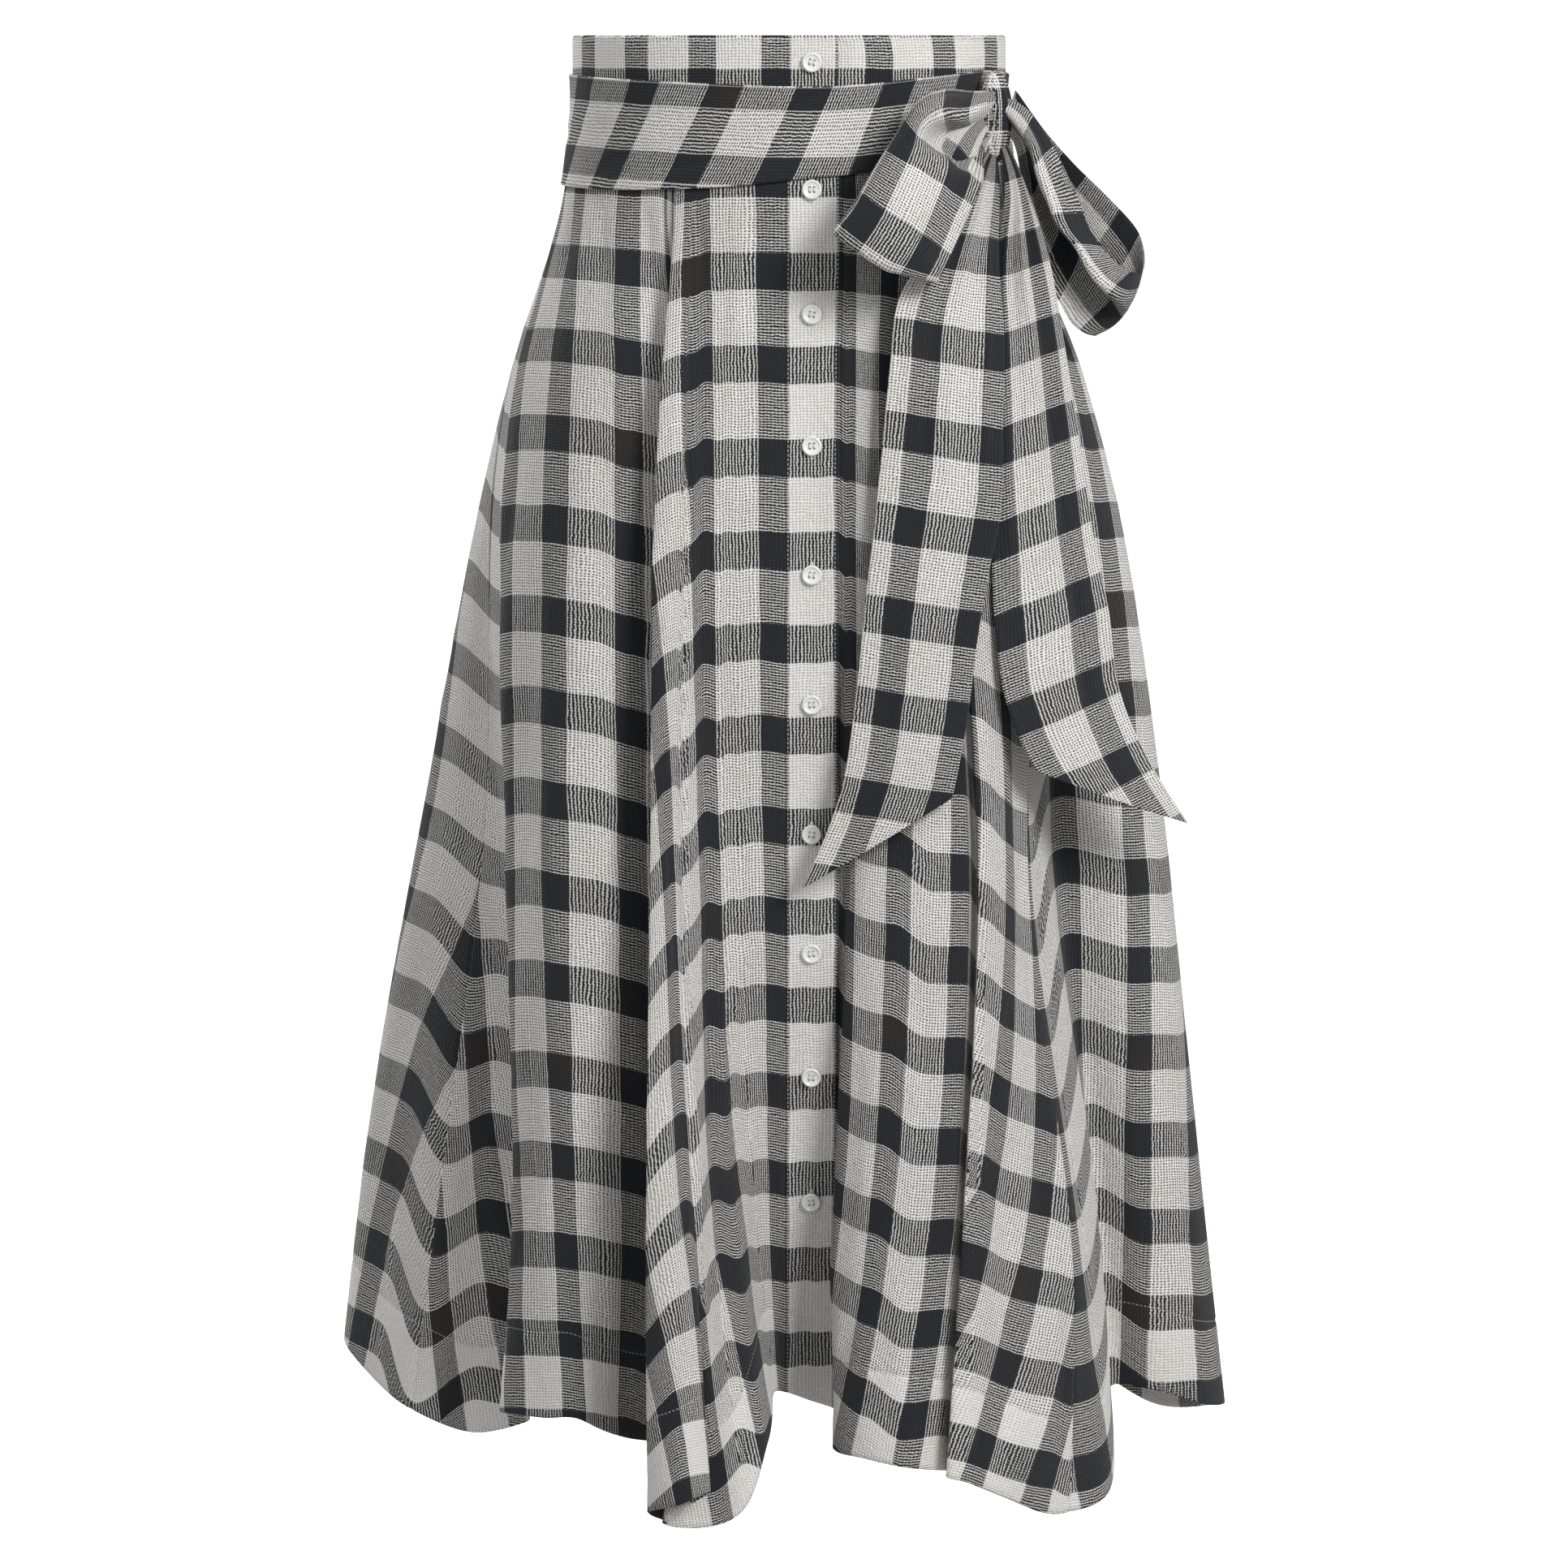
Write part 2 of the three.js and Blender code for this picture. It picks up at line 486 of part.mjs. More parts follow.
add('bow_loop_left', ribbon(LEFT_LOOP, LOOP_LINES, 26, 8), SASH_GAUZE);
add('bow_loop_right', ribbon(RIGHT_LOOP, LOOP_LINES, 30, 8), SASH_GAUZE);
add('sash_tail_left', ribbon(LEFT_TAIL, TAIL_LINES, 14, 4), SASH_GAUZE);
add('sash_tail_right', ribbon(RIGHT_TAIL, TAIL_LINES, 13, 4), SASH_GAUZE);

// ---- Buttons ------------------------------------------------------------------------------------
// A shirt button: a turned disc with a raised rim and a dished middle with four holes.
function button() {
  const { radius, height, holeRadius, holeSpacing } = BUTTON;
  const half = height / 2;
  const profile = [
    [0, -half], [radius * 0.8, -half], [radius, -half * 0.3], [radius, half * 0.5],
    [radius * 0.86, half], [radius * 0.64, half * 0.35], [0, half * 0.35],
  ].map(([r, y]) => new THREE.Vector2(r, y));
  let disc = solid(new THREE.LatheGeometry(profile, 16));
  for (const [x, z] of [[1, 1], [1, -1], [-1, 1], [-1, -1]]) {
    const hole = new THREE.CylinderGeometry(holeRadius, holeRadius, height * 2, 6);
    hole.translate(x * holeSpacing, 0, z * holeSpacing);
    disc = disc.subtract(solid(hole));
  }
  return geometryOf(disc);
}

// Depth of the cloth's outer face at the row of buttons, at a height: flat between the panel's rows.
function buttonRowFace(height) {
  if (height > -BAND_HEIGHT / 2) return onEllipse(WAIST, Math.asin(BUTTON_X / WAIST.halfWidth))[1];
  const centreFront = foldIndex('centre front');
  const rows = PANEL_ROWS.map((t) => ringPoint(t, centreFront));
  const k = Math.max(1, rows.findIndex(([, , z]) => z <= height));
  const w = (rows[k - 1][2] - height) / (rows[k - 1][2] - rows[k][2]);
  return THREE.MathUtils.lerp(rows[k - 1][1], rows[k][1], w) - BUTTON_BAND_PROUD;
}

// A button lies on the cloth that carries it and leans with it.
function placeButton(name, height) {
  const mesh = add(name, button(), PEARL);
  const reach = BUTTON.radius * 0.8;
  const above = buttonRowFace(height + reach);
  const below = buttonRowFace(height - reach);
  const lean = Math.atan2(below - above, 2 * reach);
  const lift = BUTTON.height / 2 + SEAM + 0.25;
  mesh.rotation.x = Math.PI + lean;
  const face = Math.min((above + below) / 2, buttonRowFace(height));
  mesh.position.set(BUTTON_X, face - lift * Math.cos(lean), height - lift * Math.sin(lean));
}
BUTTON_HEIGHTS.forEach((height, i) => {
  placeButton(`button_${String(i + 1).padStart(2, '0')}`, height);
});

export default group;
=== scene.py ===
# %% [markdown]
# # A beach skirt of checked cotton gauze
# The skirt is a midi: a waistband, three panels and a button band, with a wide sash wrapped over the
# waist and tied in a bow. It keeps its worn form, hollow and open at the top and the bottom. The
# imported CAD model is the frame: it fixes every size and place, and this script dresses it. Lengths
# are worked out in millimetres, as on a pattern sheet, and turned into metres when a mesh is made.

# %% Load the frame
import math
import bpy
import numpy as np
from mathutils import Matrix, Vector


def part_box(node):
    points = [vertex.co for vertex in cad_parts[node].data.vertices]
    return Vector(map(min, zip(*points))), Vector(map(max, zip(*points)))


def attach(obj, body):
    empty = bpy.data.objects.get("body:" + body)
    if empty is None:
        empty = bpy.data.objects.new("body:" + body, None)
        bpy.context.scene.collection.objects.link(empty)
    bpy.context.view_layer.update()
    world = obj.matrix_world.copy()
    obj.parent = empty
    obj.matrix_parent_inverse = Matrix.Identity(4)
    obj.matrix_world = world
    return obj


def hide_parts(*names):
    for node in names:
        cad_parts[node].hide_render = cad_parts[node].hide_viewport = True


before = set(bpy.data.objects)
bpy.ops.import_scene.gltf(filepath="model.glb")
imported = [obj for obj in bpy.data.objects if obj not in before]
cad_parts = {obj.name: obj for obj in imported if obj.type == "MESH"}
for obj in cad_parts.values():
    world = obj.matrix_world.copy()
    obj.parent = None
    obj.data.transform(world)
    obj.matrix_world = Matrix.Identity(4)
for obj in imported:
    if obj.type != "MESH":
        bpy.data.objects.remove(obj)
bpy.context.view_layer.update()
MM = 0.001

# %% [markdown]
# ## Camera
# The skirt is seen straight from the front and a little from above, through a long lens that keeps
# its sides nearly parallel. The camera is made first, because everything else is judged through it.

# %% The camera
CAMERA_AT = (-3, -3000, 22)
CAMERA_TILT = math.radians(8.47)
FOCAL_LENGTH = 115.2

camera = bpy.data.objects.new("camera", bpy.data.cameras.new("camera"))
bpy.context.scene.collection.objects.link(camera)
camera.location = [v * MM for v in CAMERA_AT]
camera.rotation_euler = (math.pi / 2 - CAMERA_TILT, 0, 0)
camera.data.lens = FOCAL_LENGTH
camera.data.sensor_width = 36
camera.data.clip_end = 50
bpy.context.scene.camera = camera
print("camera at", tuple(camera.location), "lens", FOCAL_LENGTH)

# %% [markdown]
# ## Smooth curves through a few values
# A garment is drawn by a few fold lines and sections. Two helpers fill in between them: one runs a
# smooth curve through values at unevenly spaced knots, the other closes a ring through all the fold
# lines. Both are cubic Hermite curves worked out on whole arrays.

# %% Curves
def hermite(a, b, slope_a, slope_b, w):
    """Cubic from a to b for w from 0 to 1, leaving a with slope_a and reaching b with slope_b."""
    return ((2 * w**3 - 3 * w**2 + 1) * a + (w**3 - 2 * w**2 + w) * slope_a
            + (3 * w**2 - 2 * w**3) * b + (w**3 - w**2) * slope_b)


def through(knots, values, x):
    """Values at x of a smooth curve through (knots, values): the slope at a knot is the mean of the
    slopes on its two sides, each weighted by the other side's length."""
    knots = np.asarray(knots, float)
    values = np.asarray(values, float)
    x = np.asarray(x, float)
    flat = (1,) * (values.ndim - 1)
    gap = np.diff(knots).reshape((-1,) + flat)
    slope = np.diff(values, axis=0) / gap
    bend = np.zeros_like(values)
    bend[1:-1] = (slope[:-1] * gap[1:] + slope[1:] * gap[:-1]) / (gap[:-1] + gap[1:])
    bend[0] = 1.5 * slope[0] - 0.5 * bend[1]
    bend[-1] = 1.5 * slope[-1] - 0.5 * bend[-2]
    k = np.clip(np.searchsorted(knots, x, side="right") - 1, 0, len(knots) - 2)
    step = gap[k].reshape(x.shape + flat)
    w = (x - knots[k]).reshape(x.shape + flat) / step
    return hermite(values[k], values[k + 1], bend[k] * step, bend[k + 1] * step, w)


def smoothstep(low, high, x):
    """0 below low, 1 above high, and 3w^2 - 2w^3 between them."""
    w = np.clip((x - low) / (high - low), 0, 1)
    return w * w * (3 - 2 * w)


def unit(v):
    """v divided by its length."""
    return v / np.maximum(np.linalg.norm(v, axis=-1, keepdims=True), 1e-9)


print("curve check:", through([0, 1, 3], [0, 1, 0], np.array([0, 1, 2, 3])).round(3))

# %% [markdown]
# ## Meshes for cloth
# Cloth is a thin shell: an outer grid of points, an inner grid a little behind it, and a rounded rim
# that joins them. A Solidify modifier could give the wall too, but working the two grids out
# together lets a hem be thicker than the rest and keeps each pattern coordinate on its own point.

# %% Meshes from grids
def make_object(name, verts, faces, **layers):
    """A mesh object at the origin: verts in mm, faces as an array of quads or triangles, and named
    layers of two coordinates per vertex."""
    mesh = bpy.data.meshes.new(name)
    faces = np.asarray(faces)
    corners = faces.shape[1]
    mesh.vertices.add(len(verts))
    mesh.vertices.foreach_set("co", (np.asarray(verts, float) * MM).ravel())
    mesh.loops.add(faces.size)
    mesh.loops.foreach_set("vertex_index", faces.ravel())
    mesh.polygons.add(len(faces))
    mesh.polygons.foreach_set("loop_start", np.arange(len(faces)) * corners)
    mesh.polygons.foreach_set("loop_total", np.full(len(faces), corners))
    mesh.polygons.foreach_set("use_smooth", np.ones(len(faces), bool))
    for layer_name, values in layers.items():
        layer = mesh.uv_layers.new(name=layer_name)
        layer.data.foreach_set("uv", np.asarray(values, float)[faces.ravel()].ravel())
    mesh.update(calc_edges=True)
    mesh.validate()
    obj = bpy.data.objects.new(name, mesh)
    bpy.context.scene.collection.objects.link(obj)
    return obj


def grid_faces(rows, columns, wrapped):
    """Quads of a grid of points, row after row; a wrapped grid joins its last column to its first."""
    i, j = np.meshgrid(np.arange(rows - 1), np.arange(columns if wrapped else columns - 1),
                       indexing="ij")
    k = (j + 1) % columns
    return np.stack([i * columns + j, i * columns + k, (i + 1) * columns + k,
                     (i + 1) * columns + j], -1).reshape(-1, 4)


def rim_loop(rows, columns, wrapped):
    """Indices of a grid's border points in order: one closed loop, or for a wrapped grid two."""
    index = np.arange(rows * columns).reshape(rows, columns)
    if wrapped:
        return [index[0][::-1], index[-1]]
    return [np.concatenate([index[0, ::-1], index[1:, 0], index[-1, 1:], index[-2:0:-1, -1]])]


print("a grid of 3 by 3 has", len(grid_faces(3, 3, False)), "quads and", len(rim_loop(3, 3, False)[0]),
      "border points")

# %% How far the threads are spread
CHECK_ACROSS = 43.0  # one repeat of the check across the cloth, mm
CHECK_DOWN = 53.5  # and down it


def stretch_of(points, check):
    """A thread's spacing is 1 over the length of its coordinate's gradient on the surface."""
    a, b = np.gradient(points, axis=1), np.gradient(points, axis=0)
    e, f, g = (a * a).sum(-1), (a * b).sum(-1), (b * b).sum(-1)
    powers = []
    for k, size in enumerate((CHECK_ACROSS, CHECK_DOWN)):
        across, down = np.gradient(check[..., k], axis=1), np.gradient(check[..., k], axis=0)
        steep = (g * across**2 - 2 * f * across * down + e * down**2) / np.maximum(e * g - f * f, 1e-6)
        powers.append(-np.log2(np.sqrt(np.maximum(steep, 1e-8)) * size))
    return np.clip(np.stack(powers, -1), 0, 3)


x, y = np.meshgrid(np.arange(4.0), np.arange(4.0))
pulled = stretch_of(np.stack([2 * x, 4 * y, 0 * x], -1),
                    np.stack([x / CHECK_ACROSS, y / CHECK_DOWN], -1))
print("stretch of cloth pulled to twice its width and four times its length:", pulled[0, 0])

# %% Shells
RIM = 0.45  # how far a rim's middle line stands out, as a share of the wall
NO_SEWING = (99.0, 0.0)  # far from any line of stitches, mm


def shell(name, outer, inner, check, wrapped=False, sewing=None):
    """A closed cloth wall between two grids of points, rows by columns. The rim's middle line is
    pushed out by nearly half the wall, square to it, so that the cloth's edge is rounded. check
    holds the pattern's coordinates, sewing the distance to a line of stitches, less than 0 where
    the cloth is double, and the way along that line, in mm."""
    rows, columns = outer.shape[:2]
    count = rows * columns
    if sewing is None:
        sewing = np.full((rows, columns, 2), NO_SEWING)
    marks = np.concatenate([check, sewing, stretch_of(outer, check)], -1).reshape(-1, 6)
    verts = [outer.reshape(-1, 3), inner.reshape(-1, 3)]
    layers = [marks, marks]
    front = grid_faces(rows, columns, wrapped)
    faces = [front, front[:, ::-1] + count]
    middle = (outer + inner) / 2
    start = 2 * count
    for loop in rim_loop(rows, columns, wrapped):
        i, j = np.divmod(loop, columns)
        a = outer.reshape(-1, 3)[loop]
        b = inner.reshape(-1, 3)[loop]
        inward_i = np.where(i == 0, 1, np.where(i == rows - 1, rows - 2, i))
        inward_j = j if wrapped else np.where(j == 0, 1, np.where(j == columns - 1, columns - 2, j))
        push = unit((a + b) / 2 - middle[inward_i, inward_j])
        reach = np.linalg.norm(a - b, axis=-1, keepdims=True) * RIM
        verts.append((a + b) / 2 + push * reach)
        layers.append(marks[loop])
        n = len(loop)
        here = np.arange(n)
        then = (here + 1) % n
        faces.append(np.stack([loop[here], loop[then], start + then, start + here], -1))
        faces.append(np.stack([start + here, start + then, loop[then] + count,
                               loop[here] + count], -1))
        start += n
    layers = np.concatenate(layers)
    obj = make_object(name, np.concatenate(verts), np.concatenate(faces),
                      cloth=layers[:, :2], sewing=layers[:, 2:4], stretch=layers[:, 4:])
    cross = np.cross(np.diff(outer[:-1], axis=1), np.diff(outer[:, :-1], axis=0))
    area = np.linalg.norm(cross, axis=-1).sum() * MM**2
    print(f"{name}: {len(obj.data.polygons) * 2} triangles, {area:.4f} square metres of cloth")
    return obj


# %% [markdown]
# ## The skirt's form
# Gauze hangs from the waist in folds that widen towards the hem. Each row of the table is one line
# down the cloth, a fold's crest or the valley beside it. It leaves the waist at a bearing and passes
# the hip, the knee, the calf and the hem. The second group of columns says which thread of the check
# runs there, in repeats of the check from the middle of the front, and the third how far the rows of
# the check hang below the level they would have on a plain tube. The thread count matters on gauze
# cut in a flare: it makes the stripes lean and run off into the seams as they do on the real thing.

# %% The fold table
WAIST = (128, 95)  # half width and half depth outside the waistband, mm
CINCH = (133.5, 99.5)  # and of the panels where the sash's lower edge holds them in
CINCH_SHARE = 0.058  # that edge's share of the way down
BAND_HEIGHT = 44  # of the waistband, mm
SKIRT_TOP = -22.3  # height of the panels' upper edge
LEVELS = (0, 0.2, 0.56, 0.83, 1)  # waist, hip, knee, calf, hem

FOLDS = [
    # name, bearing in degrees, hip x, y, knee x, y, calf x, y, hem x, y, drop, in mm;
    # check repeats at waist, hip, knee, calf and hem; sag of the check's rows at knee and hem, mm
    ("button band left edge", 12.9, 28.5, -112.5, 28.5, -121.5, 28, -104.5, 28, -89, 789,
     0.36, 0.36, 0.36, 0.36, 0.36, 0, 0),
    ("centre front", 6, 13, -112, 13, -122, 13, -103, 13, -88, 784,
     0, 0, 0, 0, 0, 0, 0),
    ("button band right edge", -1, -2.5, -113, -2.5, -123, -2.5, -105, -2.5, -93, 777,
     -0.36, -0.36, -0.36, -0.36, -0.36, 0, 0),
    ("dip beside the band", -11.5, -27, -115, -27, -127, -21, -117, -8, -108, 773,
     -0.81, -0.88, -0.99, -1.08, -0.9, 0, -5),
    ("lobe edge", -16, -38, -116, -37, -130, -30, -140, -12, -158, 789,
     -1.08, -1.17, -1.24, -1.37, -1.48, 2, -10),
    ("lobe crest", -20.6, -49, -118, -49, -137, -42, -160, -26, -186, 822,
     -1.3, -1.44, -1.57, -1.71, -2.07, 3, -13),
    ("crease", -23.3, -55, -120, -58, -144, -49, -169, -42, -190, 830,
     -1.48, -1.6, -2.02, -2.27, -2.63, 17, 0),
    ("curl under", -24.3, -57.5, -120.5, -60.5, -146, -51.5, -172, -72, -192, 828,
     -1.53, -1.64, -2.07, -2.29, -3.37, 19, 3),
    ("curl edge", -25.3, -60, -122, -63, -149, -54, -176, -45, -206, 805,
     -1.57, -1.66, -2.13, -2.34, -2.67, 25, 10),
    ("ridge crest", -27, -65, -125, -71, -157, -67, -190, -61, -217, 809,
     -1.71, -1.78, -2.63, -2.99, -3.6, 28, 12),
    ("ridge edge", -29.2, -74, -124, -80, -159, -82, -190, -82, -197, 820,
     -1.84, -2.04, -2.99, -3.37, -4.4, 42, 34),
    ("pleat inside", -31, -56, -111, -59, -137, -60, -158, -48, -165, 836,
     -2.92, -3.03, -3.51, -3.78, -4.72, 25, 20),
    ("pleat under", -33, -69, -105, -72, -122, -72, -123, -74, -118, 803,
     -3.78, -3.91, -4.07, -4.09, -4.27, 8, 5),
    ("side front 1", -42, -93, -108, -91, -128, -90, -130, -95, -126, 796,
     -4.4, -4.5, -4.5, -4.5, -4.5, 0, -5),
    ("side front 2", -54, -111, -104, -113, -137, -111, -141, -110, -140, 787,
     -4.9, -4.97, -5, -4.97, -4.99, -3, -6),
    ("side front 3", -66, -133, -88, -136, -132, -132, -142, -125, -144, 779,
     -5.39, -5.5, -5.5, -5.5, -5.5, -3, -6),
    ("side bend", -75, -150, -66, -152, -113, -148, -131, -144, -136, 781,
     -5.89, -6.11, -6.03, -6.04, -6.02, -4, -5),
    ("side edge", -82, -160, -44, -167, -92, -163, -106, -172, -108, 785,
     -6.29, -6.65, -6.56, -6.52, -6.85, 0, 0),
    ("side valley", -86.5, -163, -28, -164, -62, -159, -68, -158, -68, 802,
     -6.52, -6.88, -6.88, -7.1, -7.37, -8, -14),
    ("side flank", -90, -165, -16, -172, -48, -181, -60, -190, -58, 812,
     -6.7, -7.06, -7.01, -7.53, -8.2, -9, -18),
    ("right side seam", -94, -166, -4, -183, -34, -211, -46, -229, -46, 801,
     -6.88, -7.24, -7.19, -8.38, -9.17, -12, 12),
    ("right tip front", -99, -166.5, 10, -208, -6, -237, -12, -254, -12, 792,
     8.83, 9.06, 8.92, 9.62, 9.93, -25, -28),
    ("right tip", -106, -165, 30, -223, 24, -260, 28, -276, 28, 776,
     8.27, 8.61, 8.49, 8.83, 9.06, -25, -28),
    ("back fold 1", -117, -150, 66, -194, 94, -221, 100, -238, 92, 788),
    ("back valley 1", -129, -126, 88, -164, 104, -183, 104, -196, 106, 795),
    ("back fold 2", -139, -104, 101, -138, 126, -152, 142, -158, 148, 806),
    ("back valley 2", -149, -78, 110, -102, 124, -108, 128, -114, 136, 802),
    ("back fold 3", -158, -54, 116, -72, 148, -80, 174, -80, 186, 815),
    ("back fold 3 far side", -167, -30, 118, -42, 147, -44, 171, -44, 184, 813),
    ("back valley 3", -178, -4, 118, -8, 128, -8, 134, -8, 146, 802),
    ("back fold 4", -189, 22, 118, 28, 140, 32, 155, 34, 166, 808),
    ("back fold 5", -199, 48, 116, 60, 150, 68, 175, 72, 188, 815),
    ("back valley 5", -209, 74, 110, 94, 128, 100, 137, 106, 148, 803),
    ("back fold 6", -220, 102, 101, 128, 128, 142, 145, 148, 152, 806),
    ("back valley 6", -231, 128, 86, 156, 106, 170, 109, 178, 112, 806),
    ("back fold 7", -244, 156, 62, 201, 84, 222, 82, 232, 80, 832),
    ("left tip", -257, 176, 26, 232, 32, 255, 34, 271, 38, 820,
     -7.6, -7.78, -7.78, -7.26, -7.19, 12, 22),
    ("left tip front", -264, 176, 6, 220, -8, 242, -10, 255, -8, 808,
     -7.93, -8.09, -8.13, -7.73, -7.6, 6, 12),
    ("left face", -269, 171, -10, 196, -26, 211, -26, 222, -26, 794,
     -8.27, -8.45, -8.81, -8.5, -8.22, 0, 3),
    ("left valley", -274, 163, -30, 160, -32, 186, -24, 196, -24, 793,
     -8.61, -8.83, -9.62, -9.12, -8.83, -8, -12),
    ("left tuck", -278.5, 157, -44, 154, -52, 186, -46, 197, -46, 813,
     -8.9, -9.12, -9.89, -9.89, -9.89, -3, 0),
    ("big fold edge", -283, 148, -62, 146, -74, 178, -78, 192, -84, 842,
     -9.08, -9.3, -10.11, -10.16, -10.43, 27, 28),
    ("left side seam", -287, 143, -70, 142, -85, 169, -96, 167, -110, 846,
     5.39, 5.53, 5.3, 6.18, 7.1, 80, 85),
    ("big fold bend", -294, 132, -82, 136, -95, 157, -107, 153, -126, 842,
     5.06, 5.17, 5.03, 5.89, 6.7, 76, 75),
    ("big fold crest", -304, 114, -95, 126, -112, 128, -126, 125, -148, 825,
     4.4, 4.45, 4.27, 5.12, 6.07, 64, 60),
    ("big fold flank", -313.5, 98, -103, 115, -123, 110, -138, 103, -160, 813,
     3.91, 3.93, 3.82, 4.49, 5.39, 50, 47),
    ("groove far edge", -317.8, 92, -105.5, 110, -125, 101, -142, 92, -161, 810,
     3.6, 3.6, 3.71, 4.4, 5.12, 46, 43),
    ("groove", -319, 88.5, -106, 109, -115, 104, -126, 100, -138, 812,
     2.88, 2.92, 3.1, 3.6, 4.22, 42, 38),
    ("groove near edge", -320.3, 85, -107.5, 104, -121, 97, -134, 89, -149, 809,
     2.25, 2.34, 2.61, 2.74, 3.06, 33, 32),
    ("inner fold flank", -330, 67, -110, 84, -128, 71, -141, 64, -158, 804,
     1.8, 1.89, 2.02, 2.02, 2.4, 29, 30),
    ("inner fold crest", -338, 50, -113, 60, -130, 49, -141, 43, -152, 801,
     1.17, 1.26, 1.42, 1.42, 1.87, 14, 16),
    ("inner fold edge", -344.4, 36, -113.5, 35, -126, 26, -126, 26, -134, 801,
     0.58, 0.58, 0.58, 0.45, 1.35, 6, 4),
    ("dip under the fold", -345.8, 32.5, -112.5, 32, -120.5, 32.5, -105.5, 36, -93, 793,
     0.45, 0.45, 0.45, 0.38, 0.54, 6, 4),
]
fold_at = {row[0]: i for i, row in enumerate(FOLDS)}
print(len(FOLDS), "fold lines")

# %% [markdown]
# ## From the table to a surface
# At every height the fold lines give a ring of points, and a smooth closed curve through them is the
# skirt's section there. The distance travelled along the curve places the check's columns, and the
# distance travelled down each line places its rows.

# %% Lines down the cloth
def on_ellipse(half, bearing):
    """Point of an ellipse with these half sizes at a bearing from the front."""
    return np.stack([half[0] * np.sin(bearing), -half[1] * np.cos(bearing)], -1)


def fold_lines(t):
    """Where each fold line is a share t of the way down: rows of t, columns of folds, xyz in mm."""
    bearing = np.radians([row[1] for row in FOLDS])
    lower = [np.array([row[2 + 2 * k:4 + 2 * k] for row in FOLDS]) for k in range(4)]
    rings = np.stack([on_ellipse(WAIST, bearing), on_ellipse(CINCH, bearing), *lower])
    xy = through((0, CINCH_SHARE) + LEVELS[1:], rings, t)
    drop = np.array([row[10] for row in FOLDS])
    z = SKIRT_TOP - (drop + SKIRT_TOP) * t[:, None]
    return np.concatenate([xy, z[..., None]], -1)


hem_line = fold_lines(np.array([1.0]))
print("box of the hem's folds, mm:", np.ptp(hem_line[0], axis=0).round())

# %% Smooth rings
def arc_length(points):
    """Distance along each row of points from its first point."""
    step = np.linalg.norm(np.diff(points, axis=1), axis=-1)
    return np.concatenate([np.zeros((len(points), 1)), np.cumsum(step, 1)], 1)


SPEED = 0.75  # power of a chord's length that its stretch takes: under 1, short bends stay tight
SHORTEST = 0.8  # chord, mm


def ring_curve(points, first, last, steps):
    """Smooth closed curves through each row of points, from fold first to fold last. steps says how
    many pieces each stretch between two folds is cut into. The slope at a fold is the mean of the
    chords on its two sides, each over its length to the power SPEED and weighted by the other's."""
    count = points.shape[1]
    ahead = np.roll(points, -1, 1)
    reach = np.maximum(np.linalg.norm((ahead - points)[..., :2], axis=-1, keepdims=True),
                       SHORTEST)**SPEED
    back = np.roll(reach, 1, 1)
    slope = ((ahead - points) / reach * back
             + (points - np.roll(points, 1, 1)) / back * reach) / (reach + back)
    stretches = []
    for place in range(first, last):
        i, j = place % count, (place + 1) % count
        w = np.linspace(0, 1, steps[place - first] + 1)[None, :, None]
        stretches.append(hermite(points[:, i, None], points[:, j, None],
                                 slope[:, i, None] * reach[:, i, None],
                                 slope[:, j, None] * reach[:, i, None], w))
    return stretches


hem_ring = ring_curve(hem_line, 0, len(FOLDS), [8] * len(FOLDS))
print("round the hem:", round(sum(arc_length(stretch)[0, -1] for stretch in hem_ring)), "mm")

# %% Where the check runs
def columns_table(t):
    """Check repeats from the middle of the front for every fold line: given in the table, or on the
    back between the two tips shared out by the length of cloth between the lines."""
    given = np.array([row[11:16] if len(row) > 11 else (np.nan,) * 5 for row in FOLDS])
    columns = through(LEVELS, np.nan_to_num(given).T, t)
    a, b = fold_at["right tip"], fold_at["left tip"]
    lengths = [arc_length(s)[:, -1] for s in ring_curve(fold_lines(t), a, b, [8] * (b - a))]
    share = np.cumsum(lengths, 0) / np.sum(lengths, 0)
    columns[:, a + 1:b] = columns[:, [a]] + (columns[:, [b]] - columns[:, [a]]) * share[:-1].T
    return columns


def droop(sag, t):
    """How far the check's rows hang on a fold line: nothing at the waist, the sag at the knee and the
    sag at the hem, and straight in between."""
    knee = LEVELS[2]
    below = np.maximum(0, (t - knee) / (1 - knee))
    return sag[0] * np.minimum(t / knee, 1) + (sag[1] - sag[0]) * below


at_side = columns_table(np.array(LEVELS))[:, fold_at["right side seam"]]
print("check repeats from the centre to the right side seam:", at_side.round(2))

# %% A panel's surface
ROW_START = 0.68  # the check's rows, counted from the top of the panels


